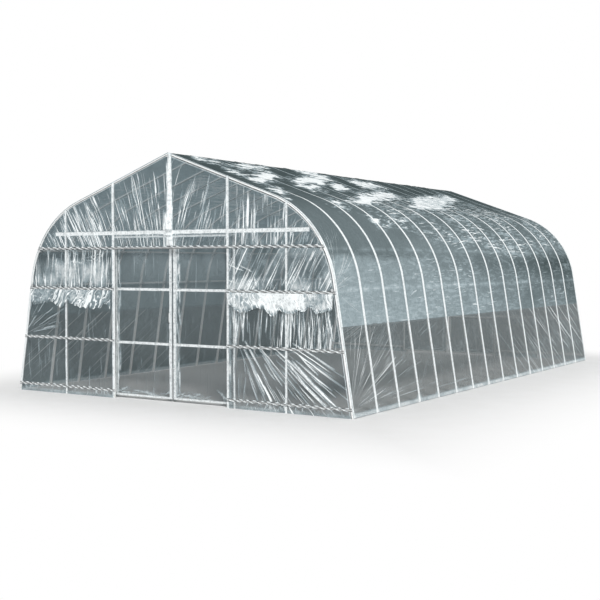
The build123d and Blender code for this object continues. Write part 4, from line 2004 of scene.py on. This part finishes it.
    def dullness(self, y: Field, back: Field, run: Field) -> Field:
        """The roof film's even haze, which is least near the ridge and softer towards the rear.

        Args:
            y: places along the tunnel.
            back: places along it, as seen from this side of the ridge.
            run: lengths up the arch.

        Returns:
            Whiteness from 0 to 1.
        """
        ragged = Grain(self.seed + self.wave_seed).woven(y, run, self.wave_weave) - self.wave_middle
        least, gain = self.wave_size
        level = run + (least + gain * falling(back, *self.wave_front)) * ragged
        soft = rising(back, *self.soft_from)
        sharp = np.interp(level, self.dull_at, self.dull)
        return (1 - soft) * sharp + soft * np.interp(level, self.soft_at, self.dull)

    def roof_lay(self, back: Field, run: Field, comb: Field) -> tuple:
        """Which way the roof film is pulled: along the tunnel, and from its front corner.

        Args:
            back: places along the tunnel, as seen from this side of the ridge.
            run: lengths up the arch.
            comb: streakiness away from the corner.

        Returns:
            Arrays of places across the pull, places along it and streakiness.
        """
        front, low = self.corner_ends
        corner = falling(back, *front) * falling(run, *low)
        wobble = Grain(self.seed + self.wobble_seed).woven(back, run, self.wobble_weave) - 0.5
        pull, spread = self.roof_pull
        fan = np.arctan2(run - pull, back - self.corner) * spread
        wide, uneven, long = self.roof_way
        across = np.where(corner > 0, fan, wide * run + uneven * wobble)
        along = np.where(corner > 0, run + self.along_share * back, long * back)
        return across, along, np.where(corner > 0, 0.46 * corner, comb)

    def declare_sheet(self, piece: Piece, node: str, wide: float, material: Material) -> None:
        """Finishes a long sheet.

        Args:
            piece: the sheet.
            node: the CAD node that it stands for.
            wide: its cut width, up the arch; not used.
            material: its film.
        """
        paint(piece, material)
        declare(piece, "house", node)

    def build_roof(self) -> None:
        """Lays the roof sheet from one side's edge over the ridge to the other's."""
        low, half = self.roof_edge / cos(self.line.lean), self.line.half_run
        up = steps([low, *self.roof_rows, half], self.run_step)
        way = np.concatenate((up, (2 * half - up[::-1])[1:]))
        piece, y, s = film_grid("roof_sheet", self.along(), way)
        sign = np.where(s <= half, 1.0, -1.0)
        run = np.where(s <= half, s, 2 * half - s)
        back, wall = y * sign, falling(run, *self.wall_top)
        slack, crease, patch = self.wrinkles(y + 9 * sign, run, self.seed)
        pleats = [p for p in drawn(SIDE_CREASES, self.seed + self.pleat_seed) if max(p.z0, p.z1) > low]
        pleat_rise, pleat_haze_and_glint = lay_pleats(back, run, pleats)
        slack = np.maximum(slack, self.least_slack) * rising(run, low, self.edge_fade) + pleat_rise * wall
        less, start, over = self.rear_clear
        film = self.dullness(y, back, run) * (0.75 + 0.5 * patch) - less * rising(back, start, over) * wall
        haze_and_glint = most(crease * (0.3 + 0.7 * wall), pleat_haze_and_glint * wall, film)
        # painted highlight lines along the purlins, broken into dashes
        for k, (z, white) in enumerate(zip(self.purlins, self.purlin_highlight)):
            level = float(np.interp(z, self.line.at(up)[1], up))
            dash = Grain(self.seed + self.purlin_seed + k).woven(y, y, self.purlin_weave)
            haze_and_glint = haze_and_glint + white * steep(dash, 2.4, 0.7) * near(run, level, *self.purlin_line)
        core, halo = self.glare(back, run)
        lit = rising(run, np.interp(back, *self.lit_from), self.lit_soft) * falling(run, *self.lit_top)
        lit = lit * np.interp(back, *self.lit_share) * np.maximum(steep(patch, 2.4, 0.45), 0.25)
        haze_and_glint = most(haze_and_glint, core, 0.03 * lit)
        shine = most(0.36 * lit, 0.8 * halo, 0.12 * wall * steep(patch, 1.8, 0.2))
        comb = most(0.60 * steep(lit, 1.5, 0), 0.92 * halo, 0.28 * wall * steep(patch, 1.8, 0.1))
        share = 0.25 + 0.75 * falling(run, *self.faint_top)
        lay = self.roof_lay(back, run, comb)
        self.shape(piece, (y, run, sign), self.roof_off, haze_and_glint, slack, lay, share, shine)
        self.declare_sheet(piece, "roof_film", float(way[-1] - way[0]) + self.roof_hem, self.finish)

    def build_side(self, side: Side) -> None:
        """Lays one lower sheet from the ground to above the shoulder.

        Args:
            side: which side of the tunnel.
        """
        runs = np.linspace(*self.search)
        high = float(np.interp(self.side_top, self.line.at(runs)[1], runs))
        edge = self.roof_edge / cos(self.line.lean)
        up = steps([*self.side_rows, edge, high], self.run_step)
        piece, y, run = film_grid(f"{side.value}_side_sheet", self.along(), up)
        slack, crease, patch = self.wrinkles(y + 4, run, self.seed + self.side_seed)
        pleats = drawn(SIDE_CREASES, self.seed + self.pleat_seed)
        pleat_rise, pleat_haze_and_glint = lay_pleats(y, run, pleats)
        lap, soft = self.under_edge
        under = rising(run, edge - lap, soft)
        slack = np.clip(slack + pleat_rise, self.least_slack, self.most_slack) * (1 - under)
        grain = Grain(self.seed + self.hem_seed)
        hem = falling(run, *self.hem) * (0.35 + 0.5 * grain.woven(y, run, self.hem_weave))
        wide, tall = self.tuft
        tuft = np.clip(1.2 - np.hypot(self.row.off(y) / wide, run / tall), 0, 1)
        tuft = tuft * steep(grain.woven(y, run, self.tuft_weave), 1.9, 0.35)
        haze_and_glint = most(crease * 0.5, pleat_haze_and_glint, hem, 0.40 * under, tuft)
        pull, spread = self.side_pull
        fan = np.arctan2(run - pull, y - self.corner) * spread
        level, up_arch = self.side_way
        across = np.where(y < self.fan_to, fan, level * y + up_arch * run)
        comb = np.interp(y, *self.side_comb) * (1 - under) * steep(patch, 1.2, -0.4)
        place = (y * side.sign, run, np.full_like(y, side.sign))
        slack = slack - self.under_roof * under
        self.shape(piece, place, self.side_off, haze_and_glint, slack, (across, run + self.along_share * y, comb))
        wide = float(high - self.side_rows[0]) + self.side_hem
        self.declare_sheet(piece, f"{side.value}_side_film", wide, self.side_finish)

    def build(self) -> None:
        """Lays the three sheets."""
        self.build_roof()
        for side in Side:
            self.build_side(side)


# ---------------------------------------------------------------- doors


@dataclass
class DoorLeaf:
    """One sliding leaf: a frame of round pipe with a pull handle, and its film."""

    pipe_finish: Material
    film_finish: Material
    pipe: float = LINE.pipe
    sides: int = 14
    plane: float = -3.53
    inner: float = 0.03
    outer: float = 0.80
    foot: float = 0.0249
    head: float = 1.7861
    rails: tuple = (0.036, 0.615, 1.2, 1.775)
    rail_in: float = 0.8  # how far a rail starts from a stile's middle, in pipe radii
    round_over: float = 0.002
    handle_at: float = 0.9
    handle_long: float = 0.11
    handle_bar: float = 0.004
    handle_reach: float = -3.5651
    handle_bend: float = 0.012
    handle_sides: int = 10
    handle_sunk: float = 0.6  # in pipe radii
    bend_steps: int = 6
    film_face: float = 3.5423
    rim: float = 0.004
    lap: float = 0.018
    pipe_steps: tuple = (0.0, 0.009, 0.013, 0.0165)
    stile_steps: tuple = (-0.003, 0.03)
    tight_edge: tuple = (0.013, 0.004)
    pinch_edge: tuple = (0.0165, 0.004)
    pinch_highlight_white: float = 0.94
    veil: tuple = ((0.5, 0.7, 1.2, 1.5, 1.8), (0.0, 0.05, 0.12, 0.26, 0.28))
    double: tuple = (0.006, 0.004)  # where the lapped films' white ends short of the stile, and softness
    slack_weave: Weave = Weave(8, 30, 5, 3, 4)
    bunch_weave: Weave = Weave(9, 3, 0, 4, 3)
    bunch: tuple = (0.014, 0.030)  # least width of the gathers at the left stile, and what they gain
    bunch_soft: float = 0.008
    bunch_from: float = 0.010
    loose: tuple = (0.6, 0.008)  # share of the creases' rise, and rise of the slack
    slack_from: float = 0.45
    comb: tuple = (0.16, 0.7)  # streakiness in the panes, and what it gains at the left stile
    comb_edge: tuple = (0.075, 0.05)
    pitch: float = 0.0135
    seed: int = 501
    left_seed: int = 5
    grain_seed: int = 31

    def straight(self, place: tuple, way: tuple, tilt: tuple) -> Piece:
        """Models one straight pipe with its ends rounded over.

        Args:
            place: its start.
            way: its run.
            tilt: turn of its ring.

        Returns:
            The pipe.
        """
        piece = pipe_start("leaf_pipe", self.pipe, self.sides, place, tilt)
        run_on(way)
        bpy.ops.mesh.select_all(action="DESELECT")
        bpy.ops.object.mode_set(mode="OBJECT")
        for face in piece.data.polygons:
            face.select = len(face.vertices) > 4
        bpy.ops.object.mode_set(mode="EDIT")
        bpy.ops.mesh.bevel(offset=self.round_over, segments=2, affect="EDGES")
        return close_edit()

    def handle(self) -> Piece:
        """Models the bent pull handle on the meeting stile.

        Returns:
            The handle.
        """
        half = self.handle_long / 2 - self.handle_bar
        low, high = self.handle_at - half, self.handle_at + half
        root, turn = self.plane - self.pipe * self.handle_sunk, self.handle_reach + self.handle_bend
        tilt = (pi / 2, 0, 0)
        pipe_start("handle", self.handle_bar, self.handle_sides, (self.inner, root, low), tilt)
        bend = {"steps": self.bend_steps, "angle": pi / 2, "axis": (1, 0, 0)}
        run_on((0, turn - root, 0))
        bpy.ops.mesh.spin(center=(self.inner, turn, low + self.handle_bend), **bend)
        run_on((0, 0, high - low - 2 * self.handle_bend))
        bpy.ops.mesh.spin(center=(self.inner, turn, high - self.handle_bend), **bend)
        run_on((0, root - turn, 0))
        return close_edit()

    def model_frame(self) -> Piece:
        """Models the right leaf's frame.

        Returns:
            The frame.
        """
        tall, start = self.head - self.foot, self.inner + self.rail_in * self.pipe
        wide = self.outer - self.inner - 2 * self.rail_in * self.pipe
        pipes = [((x, self.plane, self.foot), (0, 0, tall), (0, 0, 0)) for x in (self.inner, self.outer)]
        pipes += [((start, self.plane, z), (wide, 0, 0), (0, pi / 2, 0)) for z in self.rails]
        return joined("leaf_frame", [*(self.straight(*pipe) for pipe in pipes), self.handle()])

    def creases(self, left: float, last: float) -> tuple:
        """The creases of one film, close together along its left stile.

        Args:
            left: the left stile's place.
            last: the film's right edge.

        Returns:
            The fans.
        """
        return (
            PleatFan(
                (left + 0.02, left + 0.07), (0.10, 1.72), (-0.12, 0.12), (0.06, 0.30), (0.35, 0.9), 44,
                (0.006, 0.013), (0.003, 0.010),
            ),
            PleatFan((left + 0.05, last - 0.05), (0.05, 0.11), (-9.0, 9.0), (0.06, 0.22), (0.3, 0.8), 18),
            PleatFan((left + 0.06, last - 0.04), (0.15, 1.70), (-0.25, 0.25), (0.10, 0.40), (0.06, 0.28), 26),
            PleatFan((last - 0.07, last - 0.02), (0.10, 1.72), (-0.15, 0.15), (0.06, 0.25), (0.12, 0.45), 14),
        )

    def model_film(self, side: Side) -> Piece:
        """Models a front leaf's film, clear in its panes, bunched beside its left stile and with painted
        highlights beside its pipes.

        Args:
            side: which leaf of the front doorway.

        Returns:
            The sheet.
        """
        left, right = sorted((side.sign * self.inner, side.sign * self.outer))
        first, last = left - self.rim, right + self.rim
        if side is Side.RIGHT:
            first -= self.lap
        else:
            last += self.lap
        low, high = self.rails[0] - 2 * self.rim, self.rails[-1]
        offs = both_ways(self.pipe_steps)
        across = steps(beside((left, right), (*offs, *self.stile_steps), first, last), self.pitch)
        up = steps(beside(self.rails, offs, low, high), self.pitch)
        piece, x, z = film_grid(f"front_{side.value}_leaf_film", across, up)
        own = 0 if side is Side.RIGHT else self.left_seed
        rise, crease = lay_pleats(x, z, drawn(self.creases(left, last), self.seed + own))
        grain = Grain(self.seed + self.grain_seed + own)
        slack = grain.woven(x, z, self.slack_weave)
        offs = [*(np.abs(x - stile) for stile in (left, right)), *(np.abs(z - rail) for rail in self.rails)]
        away = reduce(np.minimum, offs)
        tight, pinch_highlight = falling(away, *self.tight_edge), falling(away, *self.pinch_edge)
        veil = np.interp(z, *self.veil) * (0.6 + 0.8 * slack)
        short, soft = self.double
        double = falling(np.abs(x), self.inner - short, soft) * (0.5 + 0.5 * slack)
        least, gain = self.bunch
        ragged = left + least + gain * grain.woven(z, z, self.bunch_weave)
        bunch = np.clip((ragged - x) / self.bunch_soft + 0.5, 0, 1) * (x > left + self.bunch_from)
        haze_and_glint = most(crease, veil, self.pinch_highlight_white * pinch_highlight, double, bunch * (0.30 + 0.6 * slack))
        share, slack_rise = self.loose
        out = (1 - 0.9 * tight) * (share * rise + slack_rise * np.maximum(slack - self.slack_from, 0))
        (even, more), (reach, soft) = self.comb, self.comb_edge
        comb = (even + more * falling(x, left + reach, soft)) * (1 - pinch_highlight)
        shape_film(piece, (x, -(self.film_face + out), z), haze_and_glint, (x, z, comb))
        paint(piece, self.film_finish)
        return piece

    def declare_leaf(self, body: str, pipes: Piece, film: Piece) -> None:
        """Declares one leaf's two pieces.

        Args:
            body: the leaf's body.
            pipes: its frame.
            film: its film.
        """
        declare(pipes, body, f"{body}_frame")
        declare(film, body, f"{body}_film")

    def build(self) -> None:
        """Models the two leaves of the front doorway and turns copies round for the rear."""
        pattern = self.model_frame()
        paint(pattern, self.pipe_finish)
        for side in Side:
            place = MIRROR if side is Side.LEFT else Matrix.Identity(4)
            pipes = copied(pattern, f"front_{side.value}_leaf_pipes", place)
            film = self.model_film(side)
            rear_pipes = copied(pipes, f"rear_{side.value}_leaf_pipes", HALF_TURN)
            rear_film = copied(film, f"rear_{side.value}_leaf_film", HALF_TURN)
            self.declare_leaf(f"rear_{side.value}_door", rear_pipes, rear_film)
            self.declare_leaf(f"front_{side.value}_door", pipes, film)
        bpy.data.objects.remove(pattern)


# ---------------------------------------------------------------- CAD nodes that keep their shape


@dataclass
class CarriedNodes:
    """The CAD nodes whose shape is right, which only take a finish."""

    zinc: Material
    rail: Material
    channel: Material
    hardware: Material

    def build(self) -> None:
        """Paints each carried node."""
        for name in ("ridge_purlin", "left_purlins", "right_purlins"):
            paint(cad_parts[name], self.zinc)
        for end in End:
            paint(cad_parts[f"{end.value}_film_channels"], self.channel)
            for part in ("door_rail", "rail_brackets"):
                paint(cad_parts[f"{end.value}_{part}"], self.rail)
            for side in Side:
                paint(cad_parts[f"{end.value}_{side.value}_door_hangers"], self.hardware)
        LOG.info("carried nodes painted")


# ---------------------------------------------------------------- stage


@dataclass
class Stage:
    """The pale floor, the soft light, the white backdrop and the camera."""

    camera_at: tuple = (7.1845, -12.3829, 1.4892)
    pitch_down: float = 2.013
    heading: float = 32.251
    lens: float = 63.70
    sensor: float = 36.0
    far: float = 300.0
    floor_half: float = 60.0
    floor_faces: int = 24
    floor_z: float = -0.0005
    key_from: tuple = (0.60, -0.62, 0.58)
    key: float = 2.5
    key_angle: float = 14.0
    key_colour: tuple = (1.0, 0.985, 0.96)
    ambient: float = 0.50
    sky: tuple = (0.97, 0.985, 1.0, 1.0)

    def build_floor(self) -> None:
        """Adds the flat floor, just below the piece."""
        clear_selection()
        count, size, place = self.floor_faces, 2 * self.floor_half, (0, 0, self.floor_z)
        bpy.ops.mesh.primitive_grid_add(x_subdivisions=count, y_subdivisions=count, size=size, location=place)
        floor = settle("studio_floor")
        paint(floor, FloorFinish("studio_floor").material())

    def build_light(self) -> None:
        """Sets the key light and the world, whose white backdrop lights nothing."""
        lamp = bpy.data.lights.new("key", "SUN")
        lamp.energy = self.key
        lamp.angle = radians(self.key_angle)
        lamp.color = self.key_colour
        key = bpy.data.objects.new("key", lamp)
        key.rotation_euler = Vector(self.key_from).to_track_quat("Z", "Y").to_euler()
        bpy.context.collection.objects.link(key)
        world = bpy.data.worlds.new("studio")
        bpy.context.scene.world = world
        made = Nodes(world)
        soft = made.glow("ShaderNodeBackground", self.sky, self.ambient)
        white = made.glow("ShaderNodeBackground", WHITE, 1.0)
        made.close(made.mixed(made.seen(), soft, white), "World")

    def build_camera(self) -> None:
        """Sets the camera at the photograph's viewing angle."""
        lens = bpy.data.cameras.new("view")
        lens.lens = self.lens
        lens.sensor_width = self.sensor
        lens.clip_end = self.far
        camera = bpy.data.objects.new("view", lens)
        camera.location = self.camera_at
        camera.rotation_euler = (radians(90 - self.pitch_down), 0, radians(self.heading))
        bpy.context.collection.objects.link(camera)
        bpy.context.scene.camera = camera

    def build(self) -> None:
        """Sets up the stage."""
        self.build_floor()
        self.build_light()
        self.build_camera()
        bpy.context.scene.view_settings.view_transform = "Standard"


def zinc(name: str, pale: tuple, dark: tuple, **values: float) -> Material:
    """A zinc of its own pale and dark tone."""
    return ZincFinish(name, (*pale, 1.0), (*dark, 1.0), **values).material()


def main() -> None:
    """Builds the stage and every sub-assembly in order."""
    logging.basicConfig(level=logging.INFO, format="%(message)s")
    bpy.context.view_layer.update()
    Stage().build()
    pipe = ZincFinish("zinc_pipe").material()
    # the arches carry painted shade on their undersides
    arch = zinc("arch_zinc", (0.95, 0.965, 0.97), (0.80, 0.815, 0.82), under=0.85)
    rail = zinc("rail_zinc", (0.95, 0.955, 0.955), (0.86, 0.87, 0.875))
    # the channel's mouth carries painted shade
    channel = zinc(
        "zinc_channel", (0.80, 0.815, 0.82), (0.52, 0.55, 0.56), metal=0.2, roughness=0.36, mouth=3.6132
    )
    wire = zinc("coated_wire", (0.90, 0.905, 0.90), (0.80, 0.81, 0.81), metal=0.0, roughness=0.45)
    hardware = zinc("hanger_steel", (0.62, 0.64, 0.65), (0.36, 0.38, 0.39), metal=0.55, roughness=0.35)
    smoky = (0.060, 0.079, 0.087, 1.0)
    # Each film's inside colour is painted light, standing in for daylight through the film.
    gable_film = FilmFinish("gable_film").material()
    panel_film = FilmFinish("panel_film", tint=smoky, facing=0.25).material()
    flap_film = FilmFinish("flap_film", inner=0.4).material()
    door_film = FilmFinish("door_film", tint=smoky, facing=0.25, cloud=0.05).material()
    side_film = FilmFinish(
        "side_film", tint=(0.138, 0.158, 0.162, 1.0), inside=(0.236, 0.290, 0.305, 1.0),
        facing=0.37, grazing=0.40, inner=0.97, cloud=0.05,
    ).material()
    roof_film = FilmFinish(
        "roof_film", tint=(0.066, 0.088, 0.092, 1.0), inside=(0.395, 0.508, 0.548, 1.0),
        facing=0.80, grazing=0.54, inner=0.97, cloud=0.0, gloss=0.0,
    ).material()
    CarriedNodes(pipe, rail, channel, hardware).build()
    Arches(arch).build()
    GablePosts(pipe).build()
    CrossingClamps(hardware).build()
    ChannelWire(wire).build()
    LongCover(roof_film, side_film).build()
    for end in End:
        GableCover(end, gable_film, panel_film).build()
        for side in Side:
            GableFlap(end, side, flap_film).build()
    DoorLeaf(pipe, door_film).build()


if __name__ == "__main__":
    main()
